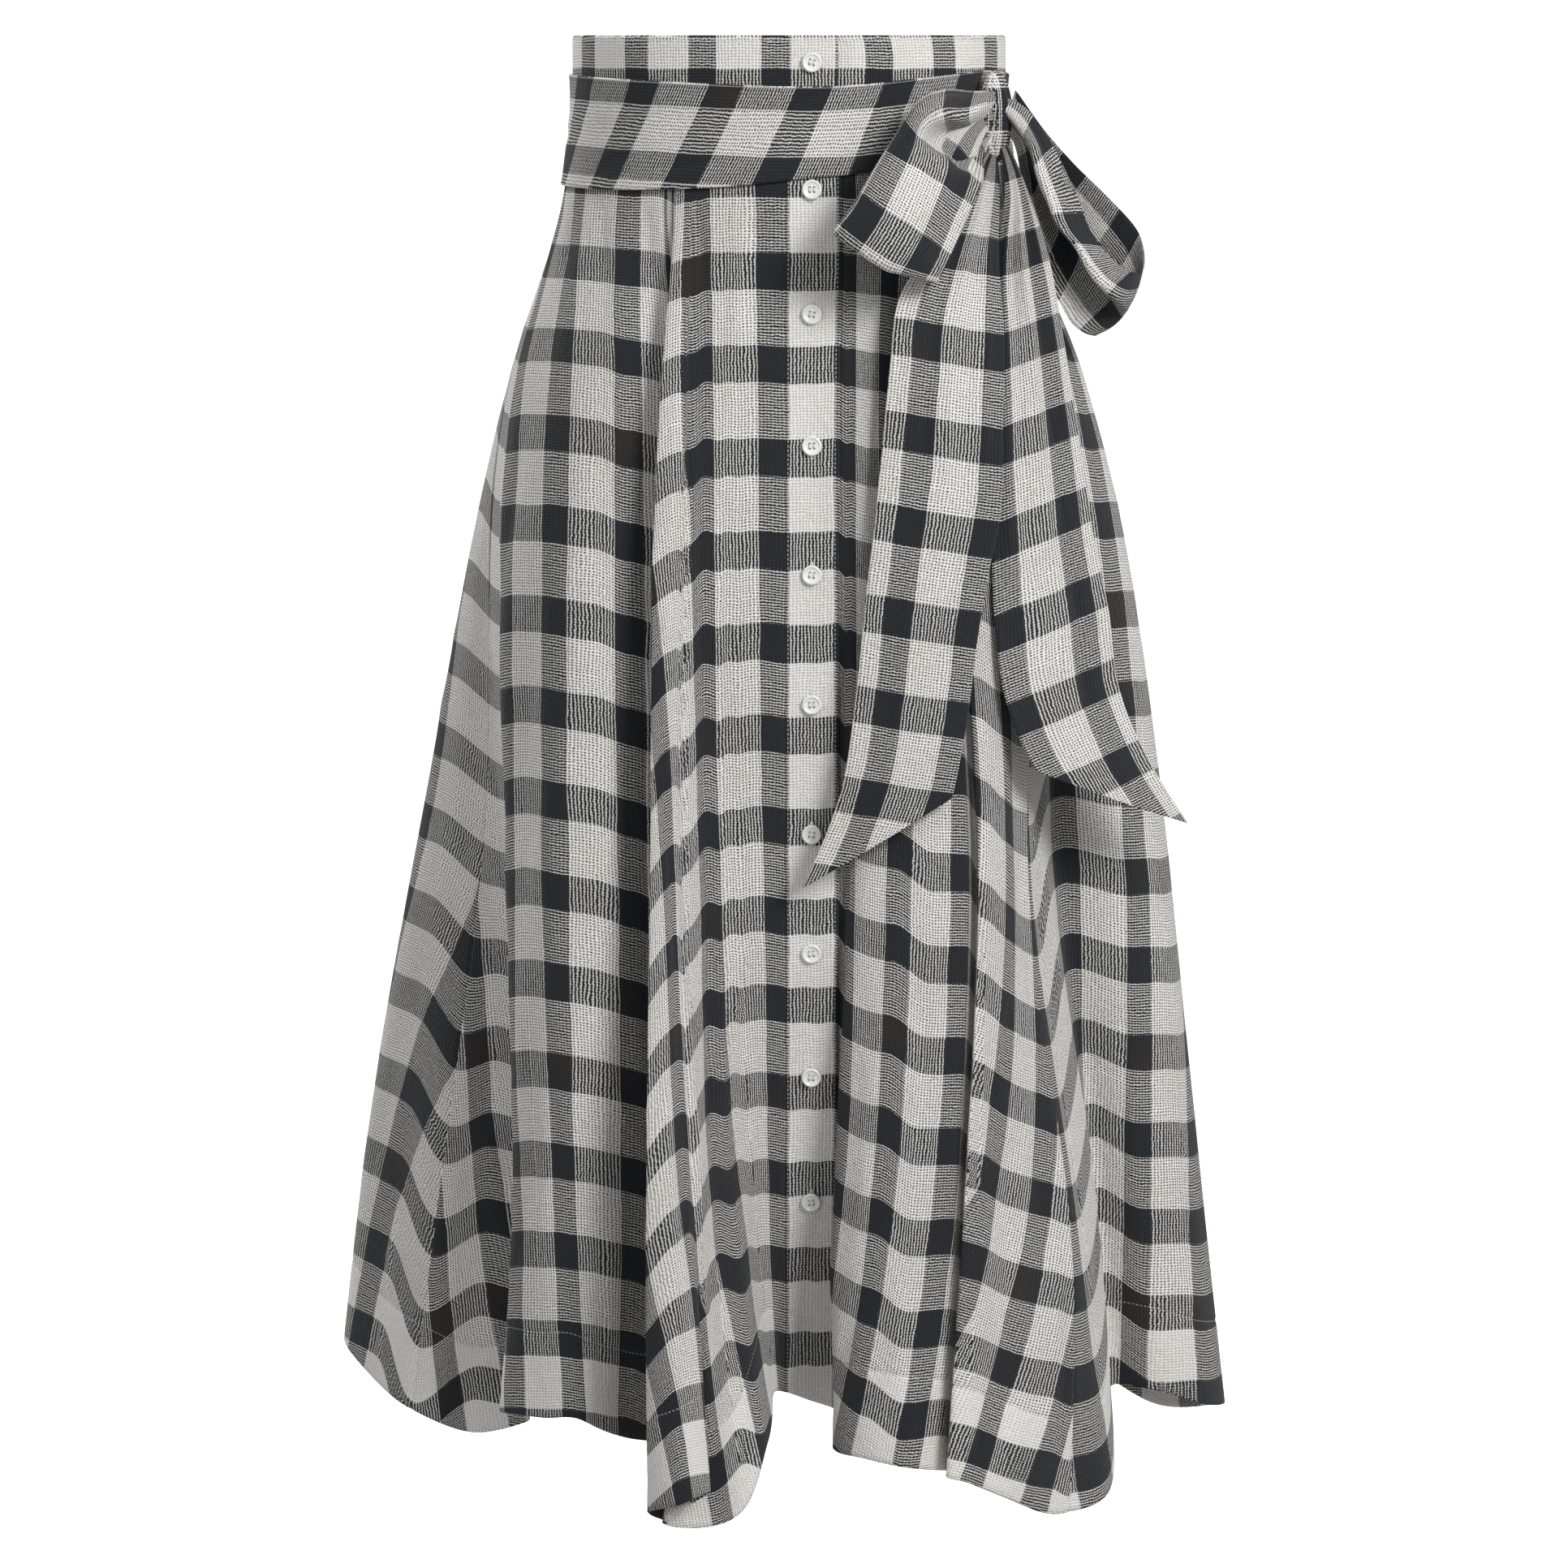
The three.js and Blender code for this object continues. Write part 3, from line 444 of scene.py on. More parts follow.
def panel_surface(first, last, spacing, t, own_columns=None, own_sag=None):
    """The outer face of a panel from fold line first to last: points, and the check's coordinates.
    For a stretch that a side seam cuts, own_columns gives the columns at its two ends and own_sag the
    sag of the rows at its last line."""
    lines = fold_lines(t)
    count = len(FOLDS)
    hem = lines[-1]
    steps = [max(2, math.ceil(np.linalg.norm(hem[(k + 1) % count] - hem[k % count]) / spacing))
             for k in range(first, last)]
    down = arc_length(lines.swapaxes(0, 1)).T
    sag = np.array([row[16:18] if len(row) > 11 else (0, 0) for row in FOLDS]).T
    rows = (down - droop(sag, t[:, None])) / CHECK_DOWN - ROW_START
    columns = columns_table(t)
    points, check, places = [], [], []
    for k, stretch in enumerate(ring_curve(lines, first, last, steps)):
        i, j = (first + k) % count, (first + k + 1) % count
        share = arc_length(stretch)
        share /= share[:, -1:]
        start, end = columns[:, [i]], columns[:, [j]]
        if own_columns and (first + k) in own_columns:
            start, end = own_columns[first + k](start, end)
        top, bottom = rows[:, [i]], rows[:, [j]]
        if own_sag and (first + k) in own_sag:
            bottom = (down[:, [j]] - droop(own_sag[first + k], t[:, None])) / CHECK_DOWN - ROW_START
        even = np.linspace(0, 1, steps[k] + 1)
        u = start + (end - start) * share
        v = top + (bottom - top) * smoothstep(0, 1, even)
        keep = slice(None) if k == last - first - 1 else slice(0, -1)
        points.append(stretch[:, keep])
        check.append(np.stack([u, v], -1)[:, keep])
        places.append((first + k + even)[keep])
    return np.concatenate(points, 1), np.concatenate(check, 1), np.concatenate(places)


def normals_of(points, wrapped=False):
    """Unit normals of a grid of points: along a row crossed with down a column."""
    along = np.gradient(points, axis=1)
    if wrapped:
        along = (np.roll(points, -1, 1) - np.roll(points, 1, 1)) / 2
    return unit(np.cross(along, np.gradient(points, axis=0)))


def level_normals(points):
    """Outward directions that stay level: square to the row, which keeps hems and seams in place."""
    along = np.gradient(points, axis=1)
    return unit(np.stack([-along[..., 1], along[..., 0], np.zeros(along.shape[:2])], -1))


HEM_DEPTH = 52  # from the hem's edge up to its stitching, mm
PANEL_LENGTH = 780
HEM_TOP = 1 - HEM_DEPTH / PANEL_LENGTH
# shares of the way down for the panels' rows, which crowd at the hem's stitching
t_rows = np.concatenate([np.linspace(0, HEM_TOP - 0.004, 205),
                         np.linspace(HEM_TOP - 0.003, HEM_TOP + 0.003, 5),
                         np.linspace(HEM_TOP + 0.006, 1, 16)])
print(len(t_rows), "rows down each panel")

# %% [markdown]
# ## Creases and crumple
# Cotton gauze never hangs quite smooth. Long soft troughs run down from the gathers, shorter ones lean
# across where the cloth was folded, and the whole surface keeps a fine crumple. Each crease is placed
# in the cloth's own repeats, as a trough or ridge that fades at its ends, and a seeded set of
# weak ones in between keeps the cloth from looking machined.

# %% Creases
SWAY = (0.06, 2.2)  # how far a crease's line sways, as a share of its length, and how often


def hump(along, length):
    """1 in the middle of a length, and down to 0 at its ends as a cosine."""
    inside = np.abs(along) < length / 2
    return np.where(inside, 0.5 + 0.5 * np.cos(2 * math.pi * along / length), 0)


def crease_field(check, creases):
    """Sum of soft troughs in mm: each falls off across its line as a bell curve of its own width, and
    towards its ends as a cosine hill. check holds the columns and rows of the check."""
    x = check[..., 0] * CHECK_ACROSS
    y = check[..., 1] * CHECK_DOWN
    height = np.zeros(x.shape)
    for column, row, length, lean, width, depth in creases:
        a = math.radians(lean)
        dx, dy = x - column * CHECK_ACROSS, y - row * CHECK_DOWN
        near = (np.abs(dx) < length + 4 * width) & (np.abs(dy) < length + 4 * width)
        if not near.any():
            continue
        dx, dy = dx[near], dy[near]
        along = dx * math.sin(a) + dy * math.cos(a)
        across = dx * math.cos(a) - dy * math.sin(a)
        across = across + SWAY[0] * length * np.sin(along / length * SWAY[1] + column)
        height[near] += depth * hump(along, length) * np.exp(-(across / width)**2)
    return height


def scattered(seed, count, columns, rows, lengths, leans, widths, depths):
    """Weak creases at seeded places: half troughs, half ridges."""
    rng = np.random.default_rng(seed)
    draw = lambda low, high: rng.uniform(low, high, count)
    sign = np.where(rng.uniform(0, 1, count) < 0.5, -1, 1)
    return list(zip(draw(*columns), draw(*rows), draw(*lengths), draw(*leans), draw(*widths),
                    sign * draw(*depths)))


print("one crease:", crease_field(np.array([[[0.0, 0.0]]]), [(0, 0, 40, 0, 6, -1.0)]))

# %% [markdown]
# ## The three panels and the button band
# Right front, back and left front meet at the side seams, and the button band covers the overlap of
# the fronts. Each is its own shell. The hem is turned up double, so the wall is thicker below a
# stitched line. The left front steps in under the band.

# %% Sizes of the panels
CLOTH = 0.8  # thickness of the cloth, mm
HEM_WALL = 1.7  # and where the hem doubles it
SEAM = 0.3  # gap between neighbours
BAND_PROUD = 0.3  # how far the button band stands over the panels
BAND_WALL = 1.2
UNDERLAP = 1.5  # how far the left front steps in beneath the button band
TOP_STITCH = 1.8  # from the button band's edge to its stitching
SEAM_TAKE = 0.35
BACK_SIDE_SAG = (27, 30)  # of the back's rows where they reach the left side seam, mm
CREASE_START = (0.045, 0.085)  # shares of the way down between which the creases set in
SIDE_FADE = 4  # grid steps over which they die out at a panel's sides
STITCH_GROOVE = 0.5  # depth of the groove that the hem's stitches pull, mm
STITCH_TURN = 0.002  # half the height of that groove, as a share of the panel
COUNT = len(FOLDS)
band_left = fold_at["button band left edge"]
band_right = fold_at["button band right edge"]
right_seam = fold_at["right side seam"]
left_seam = fold_at["left side seam"]
under_fold = fold_at["dip under the fold"]
print("side seams at fold lines", right_seam, "and", left_seam, "of", COUNT)

# %% Creases placed one by one
RIGHT_FRONT_CREASES = [
    # column and row of its middle, length mm, lean in degrees from upright, width and depth, mm
    (-0.75, 0.9, 120, 2, 4.5, -1.3), (-1.25, 1.6, 210, -3, 6, 1.2), (-1.62, 0.8, 130, 3, 4, -1.5),
    (-3.95, 0.9, 150, 4, 5, -1.7), (-4.35, 1.7, 240, -2, 7, 1.6), (-4.75, 0.7, 110, 3, 4, -1.5),
    (-5.15, 1.4, 190, -5, 6, 1.3), (-5.6, 0.8, 130, 2, 5, -1.6), (-6.05, 1.8, 230, -4, 7, 1.2),
    (-6.5, 0.9, 120, -6, 4.5, -1.3), (-0.8, 4.6, 260, -3, 8, -1.4), (-1.2, 8.0, 330, 2, 9, 1.5),
    (-0.9, 11.0, 240, 5, 8, -1.6), (-4.4, 4.7, 330, 2, 9, -1.9), (-4.95, 7.4, 380, -1, 8, 1.7),
    (-5.6, 5.2, 260, -4, 8, -1.5), (-4.2, 9.2, 260, 4, 7, 1.3), (-5.25, 10.8, 300, 1, 8, -1.9),
    (-5.9, 9.0, 330, -3, 9, 1.6), (-6.6, 4.2, 250, -7, 8, -1.4), (-6.3, 11.8, 200, -5, 7, -1.5),
    (-4.6, 12.2, 160, -3, 6, 1.6), (-1.5, 11.4, 190, -9, 7, 1.5), (-2.2, 12.2, 170, -14, 6, -1.8),
    (-1.9, 9.6, 220, -6, 6, -1.2), (-2.9, 11.9, 190, -6, 6, 1.4), (-7.2, 9.4, 240, -12, 8, -1.6),
    (-7.6, 11.9, 200, 12, 8, 1.7), (-8.4, 12.2, 210, 9, 7, -1.7), (-6.9, 6.9, 190, 22, 6, -1.1),
    (-4.8, 3.2, 110, 34, 6, -0.8), (-5.3, 8.6, 120, -30, 6, -0.9), (-1.0, 6.2, 100, 28, 5, -0.8),
    (-4.4, 10.4, 110, 26, 5, 0.8), (-2.6, 7.4, 240, -3, 6, -1.3), (-2.4, 4.4, 200, 3, 5, 1.0),
]
LEFT_FRONT_CREASES = [
    (0.8, 2.1, 230, 2, 6, -1.3), (1.35, 2.8, 260, -3, 7, 1.4), (2.0, 1.5, 180, 4, 5, -1.4),
    (3.7, 1.4, 170, -3, 5, -1.5), (4.3, 2.3, 260, 3, 7, 1.3), (4.9, 1.3, 150, 6, 5, -1.4),
    (1.0, 7.9, 300, 3, 7, -1.4), (1.6, 9.9, 330, -2, 8, 1.6), (2.1, 8.2, 240, 5, 6, -1.3),
    (0.75, 11.9, 190, 7, 6, 1.4), (1.4, 12.6, 170, -6, 6, -1.6), (2.35, 12.4, 190, 9, 7, 1.5),
    (3.9, 8.9, 330, 4, 8, -1.7), (4.6, 7.8, 270, 8, 7, 1.4), (4.35, 11.0, 260, 11, 8, 1.6),
    (5.0, 9.6, 300, 13, 8, -1.8), (5.7, 12.2, 230, 15, 8, 1.6), (5.2, 12.7, 170, 6, 6, -1.6),
    (6.4, 11.6, 220, 17, 7, -1.5), (3.2, 10.6, 220, 3, 5, -1.2), (4.0, 12.9, 150, 16, 6, 1.3),
    (1.2, 9.0, 110, 32, 5, -0.8), (4.5, 9.9, 120, -24, 6, -0.9), (5.9, 9.0, 130, 36, 6, 0.9),
]
BACK_CREASES = [
    # gathers let out below the sash
    (8.1, 0.9, 120, 3, 4, -1.7), (7.6, 1.3, 190, -2, 5, 1.4), (7.0, 0.8, 130, 2, 4, -1.9),
    (6.5, 1.5, 210, -3, 6, 1.5), (5.9, 0.9, 120, 2, 4, -1.6), (5.2, 1.2, 170, 3, 5, 1.6),
    (4.7, 0.8, 110, -2, 4, -1.9), (4.0, 1.6, 230, 1, 6, -1.6), (3.5, 0.9, 140, -3, 4.5, 1.5),
    (2.9, 0.8, 120, 2, 4, -1.8), (2.2, 1.3, 190, -1, 5, 1.4), (1.6, 0.9, 130, 3, 4, -1.9),
    (0.9, 1.5, 220, -2, 6, 1.6), (0.3, 0.8, 120, 1, 4, -1.6), (-0.4, 1.2, 170, -3, 5, 1.5),
    (-1.0, 0.9, 130, 2, 4, -1.9), (-1.7, 1.5, 210, 1, 6, 1.5), (-2.3, 0.8, 120, -2, 4, -1.7),
    (-2.9, 1.2, 180, 3, 5, 1.6), (-3.6, 0.9, 130, -1, 4, -1.9), (-4.3, 1.4, 200, 2, 6, 1.5),
    (-4.9, 0.8, 110, -3, 4, -1.6), (-5.6, 1.2, 170, 2, 5, 1.5), (-6.2, 0.9, 130, -2, 4, -1.8),
    (-6.9, 1.4, 200, 3, 6, 1.4), (-7.5, 0.8, 120, 2, 4, -1.6), (-8.2, 1.3, 180, -3, 5, 1.4),
    # long folds and slanting breaks lower down
    (7.9, 4.4, 330, -4, 9, -1.8), (6.9, 6.2, 380, -3, 9, 1.7), (6.0, 4.9, 290, 2, 8, -1.5),
    (5.2, 8.0, 360, -2, 9, -1.9), (4.1, 5.2, 330, 2, 8, 1.6), (3.2, 7.9, 350, 3, 9, -1.6),
    (2.3, 5.0, 280, -2, 8, -1.7), (1.4, 8.5, 390, 1, 9, 1.8), (0.4, 6.1, 310, -3, 8, -1.5),
    (-0.7, 8.9, 360, 2, 9, -1.8), (-1.6, 5.4, 300, 3, 8, 1.5), (-2.7, 7.8, 370, -2, 9, -1.7),
    (-3.8, 5.6, 300, 2, 8, -1.6), (-4.7, 8.7, 360, -1, 9, 1.8), (-5.8, 6.1, 320, 3, 8, -1.5),
    (-6.8, 8.3, 350, 4, 9, -1.8), (-7.4, 5.2, 260, 2, 7, 1.4), (-8.1, 9.2, 300, 3, 8, -1.6),
    (-9.2, 11.4, 220, -4, 7, -1.5), (9.2, 11.3, 230, -6, 8, -1.5), (8.4, 12.4, 190, 8, 7, 1.6),
    (7.1, 11.8, 210, -7, 7, -1.8), (5.8, 12.5, 180, 5, 7, 1.5), (4.4, 11.9, 200, -4, 7, -1.7),
    (2.6, 12.4, 180, 6, 7, 1.6), (0.8, 12.1, 190, -5, 7, -1.8), (-1.9, 12.3, 190, 6, 7, 1.5),
    (-3.3, 11.9, 200, -4, 7, -1.6), (-5.2, 12.4, 180, 7, 7, 1.6), (-6.3, 11.8, 190, -6, 7, -1.5),
    (6.4, 3.4, 130, 34, 6, -0.9), (3.6, 3.1, 120, -30, 6, -0.9), (-0.2, 3.8, 140, 28, 6, 0.9),
    (-3.1, 3.3, 120, -33, 6, -0.9), (5.5, 10.1, 130, 30, 6, 0.9), (-1.2, 10.6, 140, -26, 6, -0.9),
    (-5.6, 3.6, 130, 31, 6, -0.8), (2.0, 10.2, 120, -32, 6, -0.9), (-4.4, 10.2, 130, 29, 6, 0.9),
]
BAND_PULLS = [
    # short level pulls at the buttons
    (0.02, 0.14, 22, 88, 3, -0.5), (-0.05, 1.45, 24, 94, 3, -0.5), (0.04, 2.85, 20, 86, 3, 0.4),
    (0.0, 4.25, 24, 91, 3, -0.5), (0.03, 5.65, 22, 95, 3, 0.4), (-0.04, 7.05, 24, 88, 3, -0.5),
    (0.02, 8.45, 22, 92, 3, -0.5), (0.0, 9.8, 24, 87, 3, 0.4), (0.03, 11.2, 22, 93, 3, -0.5),
    (0.12, 3.5, 90, 2, 4, -0.4), (-0.14, 6.3, 110, -2, 4, -0.4), (0.1, 9.2, 100, 2, 4, -0.4),
]
SHORT = (18, 80)
CREASES = {
    "right_front": RIGHT_FRONT_CREASES
    + scattered(11, 330, (-9.2, -0.3), (-1, 15), SHORT, (-40, 40), (2.5, 5), (0.12, 0.42)),
    "left_front": LEFT_FRONT_CREASES
    + scattered(12, 300, (0.3, 7.2), (-1, 15), SHORT, (-40, 40), (2.5, 5), (0.12, 0.42)),
    "back": BACK_CREASES
    + scattered(13, 640, (-10.4, 10), (-1, 15), SHORT, (-40, 40), (3, 5.5), (0.12, 0.42)),
    "button_band": BAND_PULLS
    + scattered(14, 60, (-0.4, 0.4), (-1, 15), (12, 40), (60, 120), (2.5, 5), (0.06, 0.2)),
}
print("creases:", {name: len(creases) for name, creases in CREASES.items()})

# %% The panels
def panel(name, first, last, spacing, lift, wall, own_columns=None, own_sag=None):
    """A panel's shell: the surface, with its creases, moved out by lift and given its wall inwards.
    spacing is that of its columns at the hem, mm."""
    points, check, places = panel_surface(first, last, spacing, t_rows, own_columns, own_sag)
    out = level_normals(points)
    edge = np.minimum(np.arange(points.shape[1]), np.arange(points.shape[1])[::-1])
    fade = smoothstep(0, SIDE_FADE, edge)[None, :] * smoothstep(*CREASE_START, t_rows)[:, None]
    relief = crease_field(check, CREASES[name]) * fade
    relief -= STITCH_GROOVE * np.exp(-((t_rows - HEM_TOP) / STITCH_TURN)**2)[:, None] * fade
    along_row = arc_length(points)
    above_hem = (HEM_TOP - t_rows)[:, None] * PANEL_LENGTH + 0 * along_row
    sewing = np.stack([above_hem, along_row], -1)
    if name == "button_band":
        from_edge = np.minimum(along_row, along_row[:, -1:] - along_row)
        sewing = np.stack([TOP_STITCH - from_edge, check[..., 1] * CHECK_DOWN], -1)
    side = np.zeros(points.shape[1])
    side[0], side[-1] = SEAM / 2, -SEAM / 2
    along = np.stack([out[..., 1], -out[..., 0], out[..., 2]], -1)
    points = points + along * side[None, :, None]
    outer = points + out * (lift(places)[None, :] + relief)[..., None]
    depth = wall(t_rows)[:, None, None]
    return shell(name + "_cloth", outer, outer - out * depth, check, sewing=sewing)


def hemmed(t):
    """The wall's thickness: doubled below the hem's stitching."""
    return CLOTH + (HEM_WALL - CLOTH) * smoothstep(HEM_TOP - STITCH_TURN, HEM_TOP + STITCH_TURN, t)


def constant(height):
    """The same everywhere."""
    return lambda places: np.full(np.shape(places), float(height))


def step_in(places):
    """The left front's step in, which grows from the dip under the fold to the button band."""
    return -UNDERLAP * np.clip((places - under_fold) / (COUNT - under_fold), 0, 1)


back_ends = {
    right_seam: lambda start, end: (end + SEAM_TAKE, end),
    left_seam - 1: lambda start, end: (start, start - SEAM_TAKE),
}
right_front = panel("right_front", band_right, right_seam, 3.0, constant(0), hemmed)
back = panel("back", right_seam, left_seam, 5.2, constant(0), hemmed, back_ends,
             {left_seam - 1: BACK_SIDE_SAG})
left_front = panel("left_front", left_seam, COUNT + band_right, 3.0, step_in, hemmed)
button_band = panel("button_band", band_left, band_right, 2.0, constant(BAND_PROUD),
                    constant(BAND_WALL))

# %% [markdown]
# ## The waistband
# A straight strip of cloth, folded double, goes once round the waist. Its buttoned end lies on top
# and the other end tucks in behind it. A profile of the band's height is carried round the waist's
# ellipse, and the tucked end is drawn inwards.

# %% The waistband
def waist_strip(bearings, inset, half_height, wall, bulge):
    """Outer and inner faces of a strip round the waist: points of the waist's ellipse at each
    bearing, moved in by inset, at heights from top to bottom, swelling by bulge between its edges."""
    heights = np.linspace(1, -1, 17)
    swell = bulge * (1 - heights**4)
    faces = []
    for depth in (0, wall):
        shrink = (inset + depth)[None, :] - swell[:, None]
        x = (WAIST[0] - shrink) * np.sin(bearings)
        y = -(WAIST[1] - shrink) * np.cos(bearings)
        z = np.broadcast_to(half_height * heights[:, None], x.shape)
        faces.append(np.stack([x, y, z], -1))
    return faces


BAND_STITCH = 1.6  # from the waistband's edges to their stitching
WAISTBAND_WALL = 2.2
TUCK = 2.7  # how far the under end is drawn in, mm
LAP_END = math.radians(12.3)  # bearing of the buttoned end
TUCK_END = math.radians(-7)  # and of the end beneath it
FULL_TURN = 2 * math.pi
turn = np.concatenate([np.linspace(LAP_END, LAP_END - FULL_TURN + 0.1, 300),
                       np.linspace(LAP_END - FULL_TURN + 0.09, TUCK_END - FULL_TURN, 24)])
inset = TUCK * smoothstep(-math.radians(18), -LAP_END + 0.03, -(turn + FULL_TURN))
band_outer, band_inner = waist_strip(turn, inset, BAND_HEIGHT / 2, WAISTBAND_WALL, 0.25)
wave = crease_field(np.stack([arc_length(band_outer) / CHECK_ACROSS,
                              -band_outer[..., 2] / CHECK_DOWN], -1),
                    scattered(21, 60, (0, 17), (-0.5, 0.5), (20, 60), (-70, 70), (3, 7), (0.05, 0.22)))
band_outer = band_outer + normals_of(band_outer) * (wave - 0.1)[..., None]
band_check = np.stack([0.32 - arc_length(band_outer) / CHECK_ACROSS,
                       (-7 - band_outer[..., 2]) / CHECK_DOWN], -1)
band_sewing = np.stack([BAND_STITCH - (BAND_HEIGHT / 2 - np.abs(band_outer[..., 2])),
                        arc_length(band_outer)], -1)
waistband = shell("waistband_cloth", band_outer, band_inner, band_check, sewing=band_sewing)

# %% [markdown]
# ## The sash
# The sash is a wide strip wrapped once round the waist over the waistband, with a seam at the middle
# of the back. It is cut along the other grain, so the check's long repeat runs round the waist. It
# narrows and rises towards the knot, and soft folds run along it where it was pulled tight.

# %% The sash's edges and folds
SASH_EDGES = [
    # bearing, top and bottom edge, mm
    (-180, -3, -64), (-130, -2, -64), (-90, -0.5, -64), (-40, -3.5, -65), (-12, -6, -62),
    (2, -6.8, -58.5), (14, -6.4, -56), (32, -3, -50), (48, 0, -45), (60, 2, -42), (76, 1, -46),
    (100, -1, -55), (135, -3, -62), (180, -3, -64),
]
SASH_FOLDS = [
    # bearing, share of the way down, length mm, lean in degrees from along the sash, width, depth
    (-60, 0.22, 150, 4, 3.2, -0.9), (-20, 0.78, 190, -5, 3.5, -0.9), (30, 0.35, 120, 10, 3.0, -1.0),
    (48, 0.6, 60, -16, 2.6, -1.2), (50, 0.25, 60, 14, 2.4, -1.1), (54, 0.45, 40, 0, 2.2, 1.0),
    (5, 0.5, 160, 3, 4, -0.7), (-100, 0.55, 220, -3, 4, -0.9), (-150, 0.3, 200, 5, 4, -0.8),
    (160, 0.7, 220, 3, 4, -0.9), (110, 0.4, 160, -6, 3.5, -1.0), (75, 0.55, 70, 12, 2.6, -1.1),
    (80, 0.25, 70, -10, 2.6, -1.0), (70, 0.8, 60, 18, 2.6, -0.9),
]
SASH_LIFT = 2.0  # of its middle layer over the waistband, mm
SASH_WALL = 1.15  # and of its inner face behind that
SASH_WIDTH = 58
SASH_SLANT = 0.45  # lean of the check's bars: mm along the sash for each mm down it
ROLLED_EDGE = (0.35, 2.2)  # height and width of the ridge along its turned edges, mm
FOLD_SWAY = (1.5, 23)  # how far a fold's line sways, and over what length, mm
RELIEF_LIMITS = (-0.9, 1.5)  # so that no fold reaches the waistband


def sash_faces(columns, rows):
    """The sash's outer face: between its two edges, on an ellipse that is the waistband's above the
    seam and the panels' below, moved out by SASH_LIFT."""
    bearing = np.linspace(180, -180, columns)
    edges = np.array(SASH_EDGES, float)
    ends = through(edges[:, 0], edges[:, 1:], bearing)
    down = np.linspace(0, 1, rows)[:, None]
    z = ends[:, 0] + (ends[:, 1] - ends[:, 0]) * down
    share = np.maximum(0, SKIRT_TOP - z) / ((PANEL_LENGTH + SKIRT_TOP) * CINCH_SHARE)
    wide = WAIST[0] + (CINCH[0] - WAIST[0]) * share + SASH_LIFT
    deep = WAIST[1] + (CINCH[1] - WAIST[1]) * share + SASH_LIFT
    a = np.radians(bearing)
    points = np.stack([wide * np.sin(a), -deep * np.cos(a), z], -1)
    return bearing, down, points, ends


print(len(SASH_FOLDS), "folds along the sash")

# %% The sash
bearing, down, points, ends = sash_faces(560, 41)
round_way = arc_length(points[20:21])[0]
whole = round_way[-1]
middle = round_way[np.argmin(np.abs(bearing))]
along_sash = middle - round_way[None, :] + 0 * down
sash_repeat = whole / round(whole / CHECK_DOWN)  # so that the check meets at the seam
from_top = ends[:, 0] - points[..., 2]
relief = np.zeros(along_sash.shape)
for place, share, length, lean, width, depth in SASH_FOLDS:
    centre = along_sash[0, np.argmin(np.abs(bearing - place))]
    away = (along_sash - centre + whole / 2) % whole - whole / 2
    off = (down - share) * SASH_WIDTH - math.tan(math.radians(lean)) * away \
        - FOLD_SWAY[0] * np.sin(away / FOLD_SWAY[1] + place)
    relief += depth * hump(away, length) * np.exp(-(off / width)**2)
for from_edge in (from_top, ends[:, 0] - ends[:, 1] - from_top):
    relief += ROLLED_EDGE[0] * np.exp(-(from_edge / ROLLED_EDGE[1])**2)
weak = crease_field(np.stack([along_sash / CHECK_ACROSS, from_top / CHECK_DOWN], -1),
                    scattered(22, 150, (-9, 9), (0, 1.2), (20, 70), (40, 140), (2.5, 6), (0.1, 0.35)))
sash_out = unit(np.stack([points[..., 0] / WAIST[0]**2, points[..., 1] / WAIST[1]**2,
                          0 * points[..., 2]], -1))
sash_outer = points + sash_out * np.clip(relief + weak, *RELIEF_LIMITS)[..., None]
sash_inner = points - sash_out * SASH_WALL
sash_check = np.stack([0.5 + (from_top - 5) / CHECK_ACROSS,
                       (along_sash + SASH_SLANT * from_top - 14) / sash_repeat], -1)
sash_check[0, :, 0] = 0.22  # the turned edge shows the ivory stripe as a thin line
sash = shell("sash_cloth", sash_outer, sash_inner, sash_check)
print(f"sash: {whole:.0f} mm round, a repeat every {sash_repeat:.1f} mm")

# %% [markdown]
# ## The bow
# A bow is one strip of cloth: the knot squeezes it, so each loop and tail leaves the knot narrow and
# gathered and opens out. A ribbon could be bent by a curve modifier, but a real loop also folds over
# on itself across its width. So each row of a table gives a point on a few lines that run along the
# ribbon, smooth curves fill in between them, and small folds fan out from the knot.

# %% Ribbons
LOOP_LINES = (0, 0.375, 0.5, 1)  # outer edge, ridge of the fold, hollow under it, inner edge
TAIL_LINES = (0, 0.5, 1)  # left edge, middle, right edge


def ribbon_points(rows, lines, length_steps, across_steps):
    """A grid of points on smooth curves, first along each line of the table and then across."""
    u = np.linspace(0, len(rows) - 1, length_steps)
    along = through(np.arange(len(rows)), rows, u).reshape(length_steps, len(lines), 3)
    across = through(lines, along.transpose(1, 0, 2), np.linspace(0, 1, across_steps))
    return across.transpose(1, 0, 2), u


def dark_at(row):
    """Check rows for a loop: counted along it, in whole repeats from a row of its table."""
    return lambda points, u, along: (along - np.interp(row, u, along[:, 0])) / CHECK_DOWN


def dark_level(start, rise):
    """Check rows for a hanging tail: counted down it, tilted by rise for each mm to the side."""
    return lambda points, u, along: start + (rise * points[..., 0] - points[..., 2]) / CHECK_DOWN


